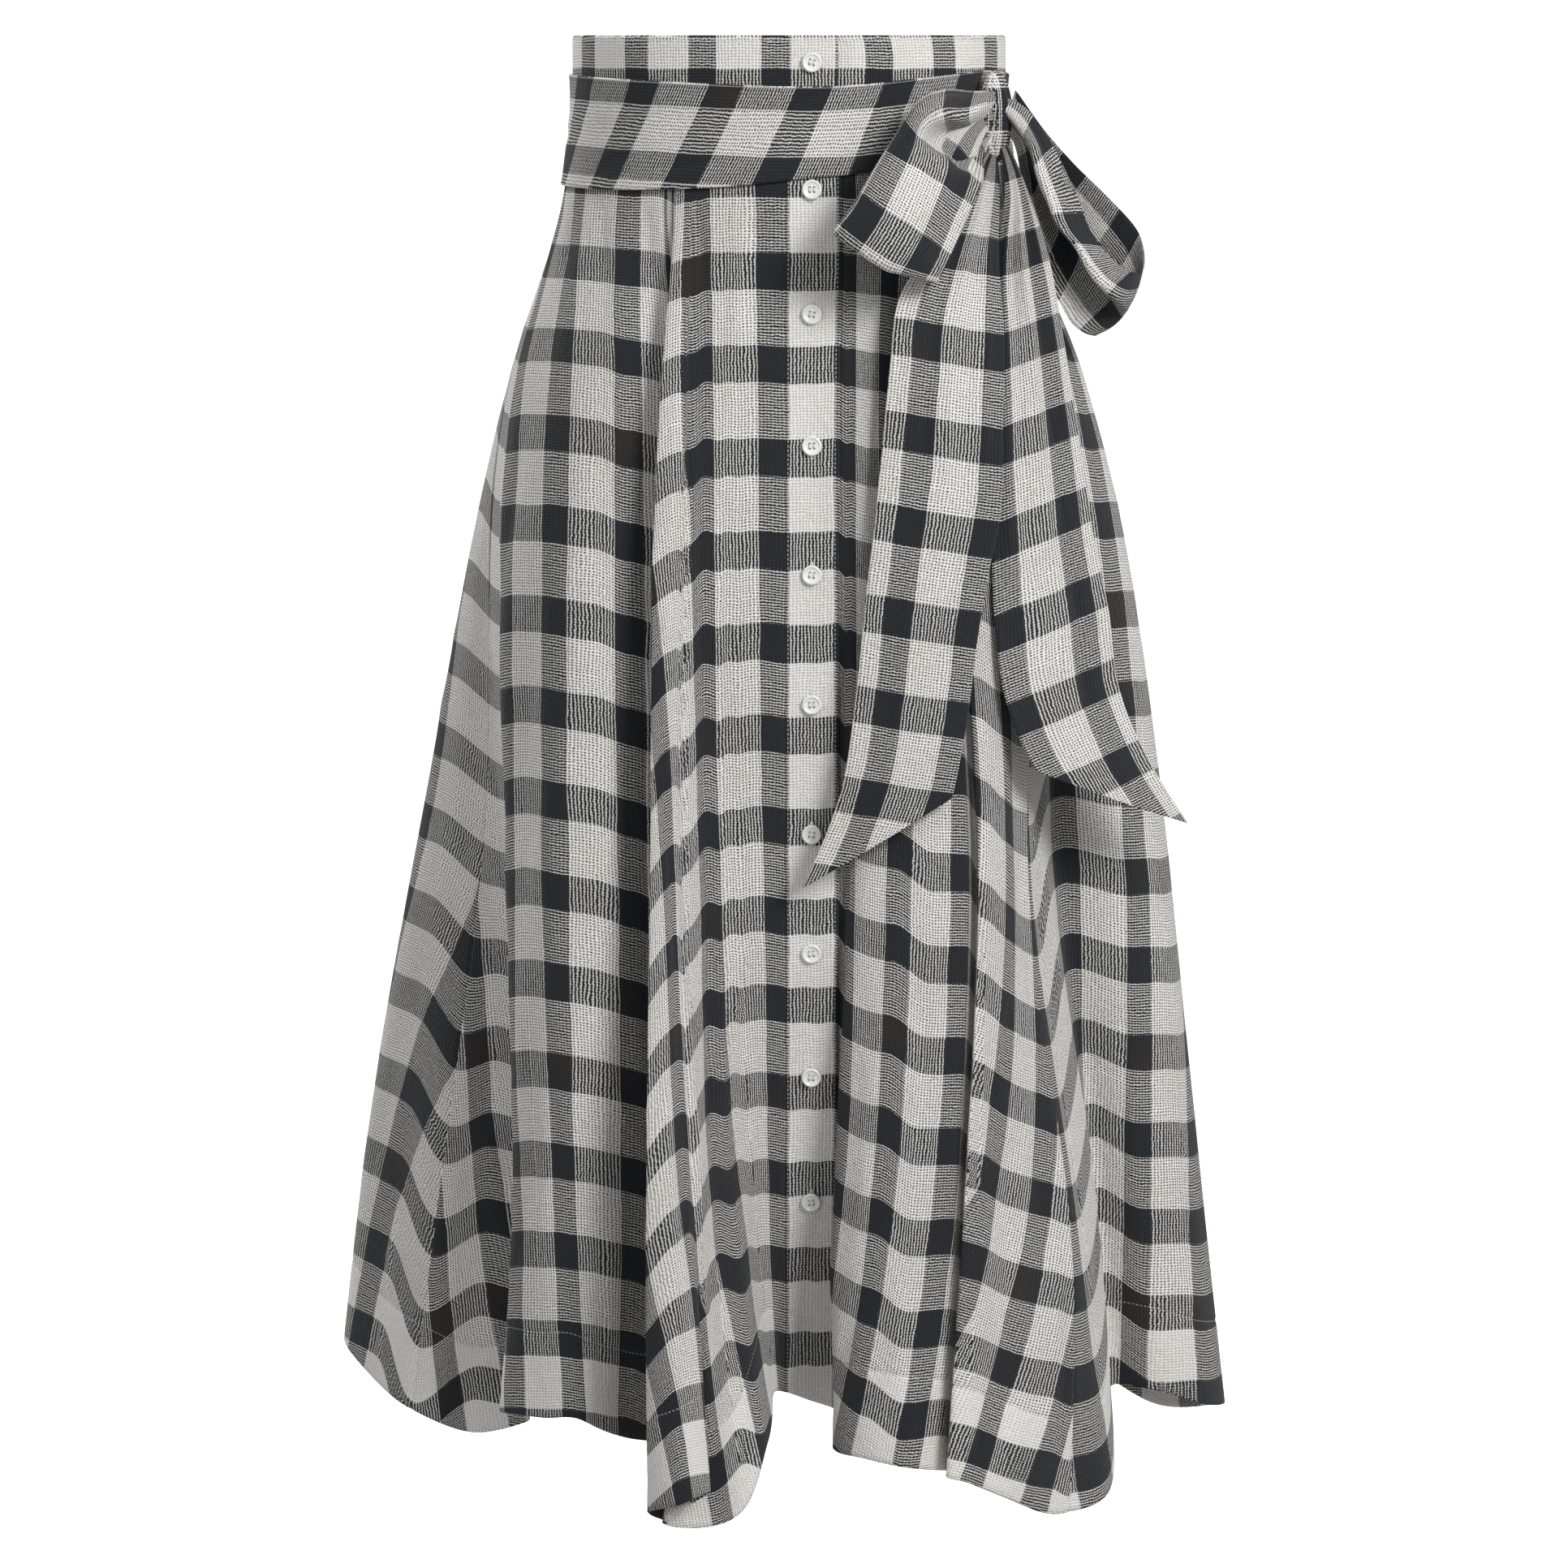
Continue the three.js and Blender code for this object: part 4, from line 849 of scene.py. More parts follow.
def ribbon(name, rows, lines, columns, check_row, folds, weak, length_steps, across_steps):
    """A ribbon's shell. columns are the check's at its two edges. folds are (place across 0 to 1,
    start and reach along in table rows, drift across, width as a share, depth in mm)."""
    points, u = ribbon_points(rows, lines, length_steps, across_steps)
    across = arc_length(points)
    step = np.linalg.norm(np.diff(points, axis=0), axis=-1).mean(1)
    along = np.concatenate([[0], np.cumsum(step)])[:, None] + 0 * across
    share = across / across[:, -1:]
    relief = np.zeros(across.shape)
    for place, start, reach, drift, width, depth in folds:
        gone = (u[:, None] - start) / reach
        hill = np.where((gone > 0) & (gone < 1), np.sin(math.pi * np.clip(gone, 0, 1))**0.7, 0)
        relief += depth * hill * np.exp(-((share - place - drift * gone) / width)**2)
    from_edge = np.minimum(across, across[:, -1:] - across)
    relief += crease_field(np.stack([across / CHECK_ACROSS, along / CHECK_DOWN], -1), weak)
    relief = relief * smoothstep(0, 5, from_edge) + 0.3 * np.exp(-(from_edge / 1.2)**2)
    normal = normals_of(points)
    outer = points + normal * (relief + CLOTH / 2)[..., None]
    check = np.stack([columns[0] + (columns[1] - columns[0]) * share, check_row(points, u, along)], -1)
    return shell(name, outer, outer - normal * CLOTH, check)


print("lines along a loop:", len(LOOP_LINES), "and along a tail:", len(TAIL_LINES))

# %% Tables of the loops and tails
LEFT_LOOP = [
    # x, y, z on the outer edge, the ridge, the hollow and the inner edge, mm
    (120, -62, -9, 119, -66, -16, 120, -58, -21, 120, -62, -31),
    (106, -68, -9, 102, -86, -26, 104, -71, -30, 113, -79, -44),
    (90, -84, -8, 89, -105, -25, 91, -85, -31, 112, -90, -53),
    (74, -103, -14, 78, -120, -29, 82, -103, -36, 111, -99, -60),
    (61, -120, -32, 71, -131, -39, 78, -125, -43, 109, -108, -64),
    (48, -133, -52, 60, -142, -59, 68, -141, -64, 99, -121, -86),
    (36, -142, -72, 48, -150, -81, 57, -151, -87, 89, -130, -107),
    (25, -144, -86, 38, -150, -97, 47, -150, -103, 85, -131, -116),
    (27, -133, -85, 40, -137, -95, 50, -137, -101, 86, -120, -114),
    (39, -121, -72, 50, -120, -81, 58, -119, -86, 89, -113, -104),
    (55, -106, -49, 65, -103, -58, 72, -102, -61, 97, -97, -80),
    (71, -92, -30, 81, -90, -36, 87, -88, -39, 105, -85, -56),
    (90, -77, -18, 97, -76, -23, 102, -75, -27, 111, -74, -38),
    (118, -61, -15, 118, -61, -18, 118, -60, -21, 118, -60, -27),
]
RIGHT_LOOP = [
    # the same lines
    (122, -58, -12, 121, -60, -17, 122, -58, -20, 121, -58, -25),
    (137, -58, -19, 133, -66, -31, 135, -60, -34, 131, -57, -40),
    (148, -62, -33, 140, -72, -45, 142, -62, -49, 135, -59, -60),
    (156, -63, -47, 144, -75, -60, 147, -63, -64, 138, -62, -83),
    (167, -64, -70, 150, -77, -74, 154, -63, -77, 144, -62, -102),
    (174, -64, -88, 156, -77, -87, 161, -62, -89, 151, -60, -119),
    (183, -62, -101, 167, -74, -100, 171, -60, -102, 159, -57, -133),
    (194, -58, -111, 178, -69, -118, 182, -56, -119, 166, -50, -144),
    (203, -50, -115, 192, -59, -132, 193, -49, -134, 174, -42, -150),
    (208, -36, -113, 201, -42, -133, 197, -36, -140, 181, -30, -152),
    (209, -24, -102, 200, -24, -125, 196, -21, -132, 180, -18, -150),
    (204, -18, -89, 192, -14, -110, 189, -12, -115, 173, -9, -135),
    (185, -24, -69, 174, -18, -87, 171, -16, -91, 159, -12, -108),
    (167, -32, -52, 158, -26, -65, 155, -24, -69, 148, -19, -81),
    (149, -42, -32, 143, -38, -42, 142, -36, -45, 138, -32, -54),
    (132, -50, -9, 130, -50, -14, 129, -50, -16, 128, -50, -21),
]
LEFT_TAIL = [
    # x, y, z on the left edge, the middle and the right edge, mm
    (117, -62, -43, 119, -61, -44, 121, -60, -44),
    (101, -79, -66, 112, -77, -68, 122, -71, -69),
    (83, -102, -95, 102, -98, -100, 121, -89, -105),
    (63, -120, -127, 94, -114, -140, 124, -101, -152),
    (58, -127, -164, 91, -123, -181, 123, -111, -198),
    (53, -131, -215, 88, -128, -230, 122, -119, -245),
    (49, -134, -256, 82, -133, -269, 115, -125, -282),
    (44, -137, -298, 76, -137, -311, 108, -128, -324),
    (39, -139, -349, 72, -139, -354, 104, -130, -359),
    (30, -141, -408, 64, -140, -401, 98, -133, -394),
    (8, -142, -464, 51, -141, -439, 94, -134, -413),
]
RIGHT_TAIL = [
    # the same lines
    (122, -61, -40, 124, -60, -39, 126, -59, -38),
    (125, -75, -69, 131, -73, -66, 137, -68, -62),
    (119, -78, -110, 135, -80, -106, 150, -75, -102),
    (117, -94, -156, 139, -88, -155, 160, -74, -153),
    (116, -106, -217, 144, -94, -219, 171, -72, -220),
    (117, -112, -267, 148, -97, -269, 179, -71, -270),
    (119, -116, -310, 154, -98, -312, 188, -70, -313),
    (124, -118, -351, 159, -98, -354, 194, -70, -356),
    (134, -118, -381, 172, -97, -389, 210, -68, -396),
    (144, -115, -400, 190, -92, -420, 236, -60, -439),
]
LOOP_FOLDS = [(0.16, 0.3, 4.5, -0.03, 0.045, -1.1), (0.27, 0.5, 5, 0.02, 0.04, 0.8),
              (0.62, 0.4, 5, 0.05, 0.05, -1.3), (0.74, 0.3, 4, 0.06, 0.04, 0.9),
              (0.86, 0.5, 4.5, 0.03, 0.045, -1.1), (0.5, 4.5, 4, 0.05, 0.06, -0.9),
              (0.3, 5.5, 3, -0.05, 0.05, 0.8)]
TAIL_FOLDS = [(0.2, 0.3, 5.5, -0.06, 0.045, -1.4), (0.35, 0.4, 7, -0.05, 0.05, 1.2),
              (0.5, 0.3, 6, 0.02, 0.045, -1.5), (0.66, 0.4, 7.5, 0.04, 0.05, 1.2),
              (0.8, 0.3, 5, 0.05, 0.045, -1.3), (0.3, 4.5, 5, 0.1, 0.06, -1.0),
              (0.72, 5, 4.5, -0.1, 0.06, 0.9)]
print("sections:", [len(rows) for rows in (LEFT_LOOP, RIGHT_LOOP, LEFT_TAIL, RIGHT_TAIL)])

# %% The loops and tails
def crumple(seed, count, length):
    """Weak creases over a ribbon of this length, in repeats of the check."""
    return scattered(seed, count, (0, 2), (0, length), (12, 60), (-50, 50), (2.2, 5), (0.1, 0.32))


left_loop = ribbon("left_loop_cloth", LEFT_LOOP, LOOP_LINES, (0.24, 1.9), dark_at(4.1),
                   LOOP_FOLDS, crumple(31, 80, 5), 150, 56)
right_loop = ribbon("right_loop_cloth", RIGHT_LOOP, LOOP_LINES, (0.33, 1.95), dark_at(2),
                    LOOP_FOLDS, crumple(32, 80, 6), 160, 56)
left_tail = ribbon("left_tail_cloth", LEFT_TAIL, TAIL_LINES, (0.04, 1.64), dark_level(-0.55, -0.18),
                   TAIL_FOLDS, crumple(33, 120, 9), 230, 48)
right_tail = ribbon("right_tail_cloth", RIGHT_TAIL, TAIL_LINES, (-0.64, 0.9), dark_level(-1.72, 0.33),
                    TAIL_FOLDS, crumple(34, 120, 8), 230, 48)

# %% [markdown]
# ## The knot
# The knot is one tight turn of the sash, so its folds run up and down and its lower edge is rolled. It
# could be bent from a ribbon too, but its ends are out of sight. So a ball is squeezed to its size,
# and grooves and ridges are set round it.

# %% The knot
KNOT_BEARING = math.radians(59)
KNOT = (9, 11, 27)  # half sizes: out from the waist, along it, and up
KNOT_TWIST = 9  # degrees that the folds turn between the middle and an end
KNOT_REPEAT = 60  # mm from one dark row of its check to the next
LOWER_ROLL = (0.9, 2.5, 0.13)  # height in mm, place and width in radians from the top
KNOT_FOLDS = [
    # place round the knot in degrees from the side that faces out, width in degrees, depth mm
    (-62, 10, -0.9), (-38, 8, 0.5), (-20, 8, -0.8), (0, 9, 0.5), (20, 8, -0.9), (42, 10, 0.6),
    (62, 9, -0.9), (100, 12, -0.8), (140, 14, -0.8), (-100, 12, -0.8), (-140, 14, -0.8),
]


def knot_points(rows, columns):
    """A ball scaled to KNOT and turned to face out at its bearing. Folds run up and down it like those
    of a tight band: bell-shaped grooves and ridges at their own places, slightly twisted, strongest
    at the middle, and a rolled edge rings its lower end."""
    low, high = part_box("bow_knot")
    centre = np.array([(a + b) / 2 / MM for a, b in zip(low, high)])
    out = unit(np.array([math.sin(KNOT_BEARING) / WAIST[0], -math.cos(KNOT_BEARING) / WAIST[1]]))
    theta = np.linspace(0.02, math.pi - 0.02, rows)[:, None]
    phi = np.linspace(0, -2 * math.pi, columns, endpoint=False)[None, :]
    twisted = np.degrees(phi) + KNOT_TWIST * np.cos(theta)
    fold = np.zeros((rows, columns))
    for place, width, depth in KNOT_FOLDS:
        off = (twisted - place + 180) % 360 - 180
        fold += depth * np.exp(-(off / width)**2)
    roll, place, width = LOWER_ROLL
    fold = fold * np.sin(theta)**0.6 + roll * np.exp(-((theta - place) / width)**2)
    a = np.cos(phi) * np.sin(theta) * (KNOT[0] + fold)
    b = np.sin(phi) * np.sin(theta) * (KNOT[1] + fold)
    c = np.cos(theta) * KNOT[2] + 0 * phi
    x = centre[0] + a * out[0] - b * out[1]
    y = centre[1] + a * out[1] + b * out[0]
    check = np.stack([b / CHECK_ACROSS + 0.37, (c - 4.5) / KNOT_REPEAT + 0 * a], -1)
    return np.stack([x, y, centre[2] + c], -1), check


points, check = knot_points(90, 144)
knot = shell("knot_cloth", points, points - normals_of(points, True) * CLOTH, check, wrapped=True)

# %% [markdown]
# ## Buttons
# Shirt buttons are turned: a flat disc with a raised rim and a dished middle, and four drilled holes
# that the thread crosses through. The profile is spun in numpy and the holes are cut by a Boolean
# modifier, which is applied once and copied ten times.

# %% A drilled button
HOLE_SPACING = 1.25  # from the button's middle to a hole, each way, mm
HOLE_RADIUS = 0.75
PROFILE = [
    # radius and height, mm, from the middle of the back to the middle of the front
    (0, -1.0), (4.2, -1.0), (5.2, -0.75), (5.65, -0.2), (5.75, 0.25), (5.6, 0.75), (5.2, 1.1),
    (4.8, 1.18), (4.4, 1.05), (4.1, 0.75), (3.7, 0.52), (2.5, 0.42), (0, 0.4),
]


def spun(name, profile, segments):
    """A solid of revolution about Y, facing -Y, from a profile of (radius, height)."""
    profile = np.array(profile, float)
    turns = np.linspace(0, 2 * math.pi, segments, endpoint=False)
    ring = np.stack([profile[1:-1, :1] * np.cos(turns), -profile[1:-1, 1:] + 0 * turns,
                     profile[1:-1, :1] * np.sin(turns)], -1)
    verts = np.concatenate([ring.reshape(-1, 3), [[0, -profile[0, 1], 0]], [[0, -profile[-1, 1], 0]]])
    last = (len(profile) - 3) * segments
    k = np.arange(segments)
    n = (k + 1) % segments
    back_fan = np.stack([0 * k + len(verts) - 2, n, k], -1)
    front_fan = np.stack([0 * k + len(verts) - 1, last + k, last + n], -1)
    faces = grid_faces(len(profile) - 2, segments, True).tolist() \
        + np.stack([back_fan, front_fan], 1).reshape(-1, 3).tolist()
    mesh = bpy.data.meshes.new(name)
    mesh.from_pydata((verts * MM).tolist(), [], faces)
    mesh.polygons.foreach_set("use_smooth", np.ones(len(faces), bool))
    obj = bpy.data.objects.new(name, mesh)
    bpy.context.scene.collection.objects.link(obj)
    return obj


def drilled_button():
    """One button at the origin with its four holes cut."""
    disc = spun("button_blank", PROFILE, 64)
    drills = []
    for x, z in ((1, 1), (1, -1), (-1, 1), (-1, -1)):
        drill = spun("drill", [(0, -4), (HOLE_RADIUS, -4), (HOLE_RADIUS, 4), (0, 4)], 20)
        place = HOLE_SPACING * MM
        drill.data.transform(Matrix.Translation((x * place, 0, z * place)))
        drills.append(drill)
        cut = disc.modifiers.new("hole", "BOOLEAN")
        cut.operation = "DIFFERENCE"
        cut.solver = "EXACT"
        cut.object = drill
    depsgraph = bpy.context.evaluated_depsgraph_get()
    mesh = bpy.data.meshes.new_from_object(disc.evaluated_get(depsgraph))
    mesh.set_sharp_from_angle(angle=math.radians(40))
    for obj in [disc] + drills:
        bpy.data.objects.remove(obj)
    return mesh


button_mesh = drilled_button()
print("one button:", len(button_mesh.polygons), "faces")

# %% Ten buttons
def turned(x, y, angle):
    """Two coordinates turned by an angle."""
    return x * math.cos(angle) - y * math.sin(angle), x * math.sin(angle) + y * math.cos(angle)


def place_buttons(mesh):
    """Copies of the button, each seated on its CAD solid's centre and leaning with it."""
    made = []
    for k in range(10):
        node = f"button_{k + 1:02d}"
        low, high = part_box(node)
        co = np.empty(len(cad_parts[node].data.vertices) * 3)
        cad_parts[node].data.vertices.foreach_get("co", co)
        co = co.reshape(-1, 3)
        centre = (np.array(low) + np.array(high)) / 2
        spread = co - co.mean(0)
        normal = np.linalg.eigh(spread.T @ spread)[1][:, 0]
        normal = normal * (-1 if normal[1] > 0 else 1)
        lean = math.atan2(normal[2], -normal[1])
        turn = math.radians((k * 37) % 24 - 12)  # no two are sewn on at the same angle
        copy = mesh.copy()
        verts = np.empty(len(copy.vertices) * 3)
        copy.vertices.foreach_get("co", verts)
        x, y, z = verts.reshape(-1, 3).T
        x, z = turned(x, z, turn)
        y, z = turned(y, z, -lean)
        copy.vertices.foreach_set("co", (np.stack([x, y, z], -1) + centre).ravel())
        obj = bpy.data.objects.new(f"pearl_button_{k + 1:02d}", copy)
        bpy.context.scene.collection.objects.link(obj)
        made.append((obj, centre / MM, lean, turn))
    return made


buttons = place_buttons(button_mesh)
print(len(buttons), "buttons, the first at", buttons[0][1].round(1))

# %% [markdown]
# ## Thread
# Two short threads hold each button through its holes, and each buttonhole is edged with close
# stitches that end in a small point above and below the button. Both are thin tubes along short
# curves, so one function sweeps a round section along any closed or open line.

# %% Tubes
def tube(path, radius, sides, closed):
    """Points and quads of a round tube along a path of points: at each point a circle of its radius,
    square to the path, drawn between the direction sideways and its cross product with the path."""
    path = np.asarray(path, float)
    ahead = (np.roll(path, -1, 0) - np.roll(path, 1, 0)) if closed else np.gradient(path, axis=0)
    ahead = unit(ahead)
    side = unit(np.cross(ahead, (0, 1, 0)))
    up = np.cross(side, ahead)
    turns = np.linspace(0, 2 * math.pi, sides, endpoint=False)[None, :, None]
    ring = path[:, None] + (np.cos(turns) * side[:, None] + np.sin(turns) * up[:, None]) \
        * np.broadcast_to(radius, len(path))[:, None, None]
    faces = grid_faces(len(path), sides, True)
    if closed:
        last = (len(path) - 1) * sides
        k = np.arange(sides)
        n = (k + 1) % sides
        faces = np.concatenate([faces, np.stack([last + k, last + n, n, k], -1)])
    return ring.reshape(-1, 3), faces


def joined(name, parts):
    """One object from several (points, quads)."""
    starts = np.cumsum([0] + [len(points) for points, _ in parts])
    return make_object(name, np.concatenate([points for points, _ in parts]),
                       np.concatenate([faces + start for (_, faces), start in zip(parts, starts)]))


def on_button(button, x, up, out):
    """Points given across, up and out from a button's middle, leaned and placed with the button."""
    _, centre, lean, _ = button
    y, z = turned(-out, up, -lean)
    return np.stack([x, y, z], -1) + centre


print("a tube of 4 points and 8 sides:", len(tube(np.eye(4)[:, :3], 1, 8, False)[1]), "quads")

# %% Thread and buttonholes
THREAD_RADIUS = 0.34  # mm, as all of these
THREAD_TOP = 0.95  # of its bow, out from the button's middle
THREAD_DIP = 1.1  # and how much further in its ends are
BUTTONHOLE = (7.6, 1.15)  # half its length and half its width
EDGING = (0.42, 0.12)  # radius of its edging, and how much that swells with a stitch
EDGING_OUT = -1.55  # middle of the edging, out from the button's middle
LEVEL_SHIFT = 4.5  # how far the level one lies to the left
STITCHES = 36  # round each


def threads(button):
    """Two threads, each from one hole to the one below it, bowed out over the dished middle."""
    turn = button[3]
    share = np.linspace(-1, 1, 11)
    parts = []
    for side in (-1, 1):
        x, up = side * HOLE_SPACING + 0 * share, HOLE_SPACING * share
        x, up = turned(x, up, turn)
        path = on_button(button, x, up, THREAD_TOP - THREAD_DIP * share**4)
        parts.append(tube(path, THREAD_RADIUS, 8, False))
    return parts


def buttonhole(button, upright):
    """A ring of stitches round the slit: a pointed oval whose radius swells and thins with every
    stitch. Upright ones lie behind the button, the level one runs out to its left."""
    half_length, half_width = BUTTONHOLE
    turn = np.linspace(0, 2 * math.pi, 144, endpoint=False)
    length = half_length * np.sin(turn)
    width = half_width * np.cos(turn) * (1 - 0.25 * np.sin(turn)**6)
    radius = EDGING[0] + EDGING[1] * np.cos(STITCHES * turn)
    x, up = (width, length) if upright else (length - LEVEL_SHIFT, width)
    return tube(on_button(button, x, up, EDGING_OUT + 0 * turn), radius, 8, True)


button_thread = joined("button_thread", [part for button in buttons for part in threads(button)])
buttonholes = joined("buttonhole_stitches",
                     [buttonhole(button, k > 0) for k, button in enumerate(buttons)])
print("thread:", len(button_thread.data.polygons) * 2, "and buttonholes:",
      len(buttonholes.data.polygons) * 2, "triangles")

# %% [markdown]
# ## Shader maths as expressions
# A procedural material is arithmetic on coordinates. A small class wraps a node's output so that the
# arithmetic reads as plain Python and adds the Math nodes by itself.

# %% A wrapped socket
class Wire:
    """An output of a node in a material's tree, with the operators of numbers."""

    def __init__(self, tree, socket):
        self.tree, self.socket = tree, socket

    def node(self, kind, settings=(), out=0, **inputs):
        """Adds a node of any kind: its settings are set first, then its sockets, by name or index."""
        made = self.tree.nodes.new(kind)
        for key, value in dict(settings).items():
            setattr(made, key, value)
        for key, value in inputs.items():
            socket = made.inputs[int(key[1:])] if key[0] == "i" and key[1:].isdigit() else \
                made.inputs[key.replace("_", " ")]
            if isinstance(value, Wire):
                self.tree.links.new(value.socket, socket)
            else:
                socket.default_value = value
        return Wire(self.tree, made.outputs[out])

    def math(self, operation, *others):
        """A Math node on this value and others."""
        inputs = {f"i{k}": v for k, v in enumerate((self,) + others)}
        return self.node("ShaderNodeMath", {"operation": operation}, **inputs)

    def __add__(self, other):
        return self.math("ADD", other)

    __radd__ = __add__

    def __mul__(self, other):
        return self.math("MULTIPLY", other)

    __rmul__ = __mul__

    def __sub__(self, other):
        return self.math("SUBTRACT", other)

    def __rsub__(self, other):
        return (self * -1) + other

    def __truediv__(self, other):
        return self.math("DIVIDE", other)

    def wave(self):
        """Half of 1 plus the cosine of 2 pi times the value: 1 at whole numbers, 0 halfway."""
        return (self * (2 * math.pi)).math("COSINE") * 0.5 + 0.5

    def between(self, low, high):
        """A smooth step from 0 at low to 1 at high."""
        return self.node("ShaderNodeMapRange", {"interpolation_type": "SMOOTHSTEP"}, Value=self,
                         From_Min=low, From_Max=high)

    def mix(self, a, b):
        """Colour a where the value is 0, b where it is 1."""
        return self.node("ShaderNodeMix", {"data_type": "RGBA"}, out=2, i0=self, i6=a, i7=b)

    def noise(self, scale, detail, **more):
        """Smooth noise at this place."""
        return self.node("ShaderNodeTexNoise", Vector=self, Scale=scale, Detail=detail, **more)

    def bump(self, strength, distance):
        """A normal that tilts with this height, distance in metres."""
        return self.node("ShaderNodeBump", Strength=strength, Distance=distance, Height=self)


print("a wire has + - * / and wave, between, mix, noise and bump")

# %% Starting and ending a material
def material(name):
    """A new material with a Principled shader: returns it, the shader and a wire to start from."""
    made = bpy.data.materials.new(name)
    made.use_nodes = True
    tree = made.node_tree
    shader = tree.nodes["Principled BSDF"]
    return made, shader, Wire(tree, tree.nodes.new("ShaderNodeTexCoord").outputs["Object"])


def feed(shader, wires):
    """Links each wire to the shader's socket of that name; numbers are set on the socket."""
    for name, value in wires.items():
        socket = shader.inputs[name]
        if isinstance(value, Wire):
            value.tree.links.new(value.socket, socket)
        else:
            socket.default_value = value


print("every material starts from its piece's own coordinates")

# %% [markdown]
# ## Checked gauze
# Gauze is an open plain weave of uneven, crinkled cotton. Where threads of both ways are ivory the
# cloth is ivory with pinholes: real gaps of the weave, painted dark as painted shade for the shadowed
# inside seen through them. Where both are black it is near black, and where they cross the ivory
# threads show as wavy lines on black: upright lines in the black rows, level ones in the black
# columns. So the pattern is worked out thread by thread, from the check's own coordinates.

# %% Colours and threads
IVORY = (0.775, 0.762, 0.735, 1)
WARM_IVORY = (0.735, 0.715, 0.675, 1)
BLACK = (0.013, 0.015, 0.019, 1)
BROWN_BLACK = (0.024, 0.019, 0.016, 1)
THREAD = (0.8, 0.79, 0.76, 1)
THREAD_ACROSS = 2.0  # spacing of the upright threads, mm
THREAD_DOWN = 1.66
STITCH = 2.6  # length of a stitch and the gap after it, mm


def threads_of(place, spread):
    """Waves with a crest on each thread. Where the cloth is spread to twice the spacing there are
    twice as many threads, and four times as many at four times, so that they stay equally fine."""
    twice = spread.between(0.35, 0.65)
    four_times = spread.between(1.35, 1.65)
    finer = (place * 2).wave() * (1 - four_times) + (place * 4).wave() * four_times
    return place.wave() * (1 - twice) + finer * twice


print("threads in a repeat:", CHECK_ACROSS / THREAD_ACROSS, "and", round(CHECK_DOWN / THREAD_DOWN, 1))

# %% The gauze
def gauze(name):
    """Cloth of the check. Every mask is a smooth step on the distance to a stripe or a thread, and the
    threads' places are shaken by noise, so that they waver as gauze does."""
    made, shader, place = material(name)

    def layer(uv_name):
        """One of the mesh's layers, whole and as its two numbers."""
        uv = place.node("ShaderNodeUVMap", {"uv_map": uv_name})
        first = uv.node("ShaderNodeSeparateXYZ", i0=uv)
        return uv, first, Wire(uv.tree, first.socket.node.outputs[1])

    uv, column, row = layer("cloth")
    _, from_seam, along_seam = layer("sewing")
    _, spread_across, spread_down = layer("stretch")
    in_mm = uv.node("ShaderNodeVectorMath", {"operation": "MULTIPLY"}, i0=uv,
                    i1=(CHECK_ACROSS, CHECK_DOWN, 1))

    def noise(scale, detail=2.0, stretch=(1, 1, 1)):
        """Smooth noise over the cloth, finer along an axis that is stretched more."""
        scaled = in_mm.node("ShaderNodeVectorMath", {"operation": "MULTIPLY"}, i0=in_mm, i1=stretch)
        return scaled.noise(scale, detail)

    drift_x = noise(0.09, 3, (1, 0.35, 1)) - 0.5
    drift_y = noise(0.085, 3, (0.35, 1, 1.3)) - 0.5
    # the edges of the coloured bands wander by a thread or two
    x = column + drift_x * 0.05
    y = row + drift_y * 0.045
    dark_up = (x - 0.5 - (x - 0.5).math("ROUND")).math("ABSOLUTE").between(0.203, 0.183)
    dark_across = (y - y.math("ROUND")).math("ABSOLUTE").between(0.209, 0.193)
    # the threads waver, up to nearly one thread's spacing
    thread_x = column * (CHECK_ACROSS / THREAD_ACROSS) + drift_x * 1.6 \
        + (noise(0.4, 2, (0.6, 1, 1)) - 0.5) * 0.75
    thread_y = row * (CHECK_DOWN / THREAD_DOWN) + drift_y * 1.6 \
        + (noise(0.45, 2, (1, 0.6, 1)) - 0.5) * 0.85
    up = threads_of(thread_x, spread_across)
    level = threads_of(thread_y, spread_down)
    uneven = noise(0.3, 2)
    fuzz = noise(1.5, 2)
    double = from_seam.between(0.6, -0.6)
    # a hole between threads: a real gap, painted dark as painted shade for what is seen through it,
    # and less so where the cloth is double; and how much of the ivory threads shows in each kind of
    # cell
    hole = ((1 - up) * (1 - level)).between(0.18, 0.6) * (1 - double * 0.6)
    only_up = (up + level * 0.42 + fuzz * 0.4 + uneven * 0.3 - 0.56).between(0.42, 0.8)
    only_level = (level + up * 0.42 + fuzz * 0.4 + uneven * 0.3 - 0.56).between(0.38, 0.8)
    # painted shade in the holes: the ivory cells darken towards black at each hole
    both = 1 - hole * (0.55 + uneven * 0.5)
    none = (up * level).between(0.6, 1) * fuzz.between(0.5, 0.75) * 0.1
    light = (1 - dark_up) * (1 - dark_across) * both \
        + (1 - dark_up) * dark_across * only_up * 0.7 \
        + dark_up * (1 - dark_across) * only_level * 0.68 \
        + dark_up * dark_across * none
    stitch = from_seam.math("ABSOLUTE").between(0.5, 0.25) \
        * (along_seam / STITCH).wave().between(0.3, 0.5)
    ivory = noise(0.02, 2).between(0.3, 0.7).mix(IVORY, WARM_IVORY)
    black = noise(0.012, 2, (1, 1, 2)).between(0.52, 0.7).mix(BLACK, BROWN_BLACK)
    colour = (stitch * 0.35).mix(light.mix(black, ivory), THREAD)
    relief = (up + level) * 0.3 + noise(0.2, 3) * 1.3 + fuzz * 0.25 - hole * 0.3 + stitch * 0.5
    feed(shader, {"Base Color": colour, "Roughness": 0.93 - light * 0.06,
                  "Normal": relief.bump(0.75, 0.0009),
                  "Specular IOR Level": 0.2, "Sheen Weight": 0.1, "Sheen Roughness": 0.6})
    return made


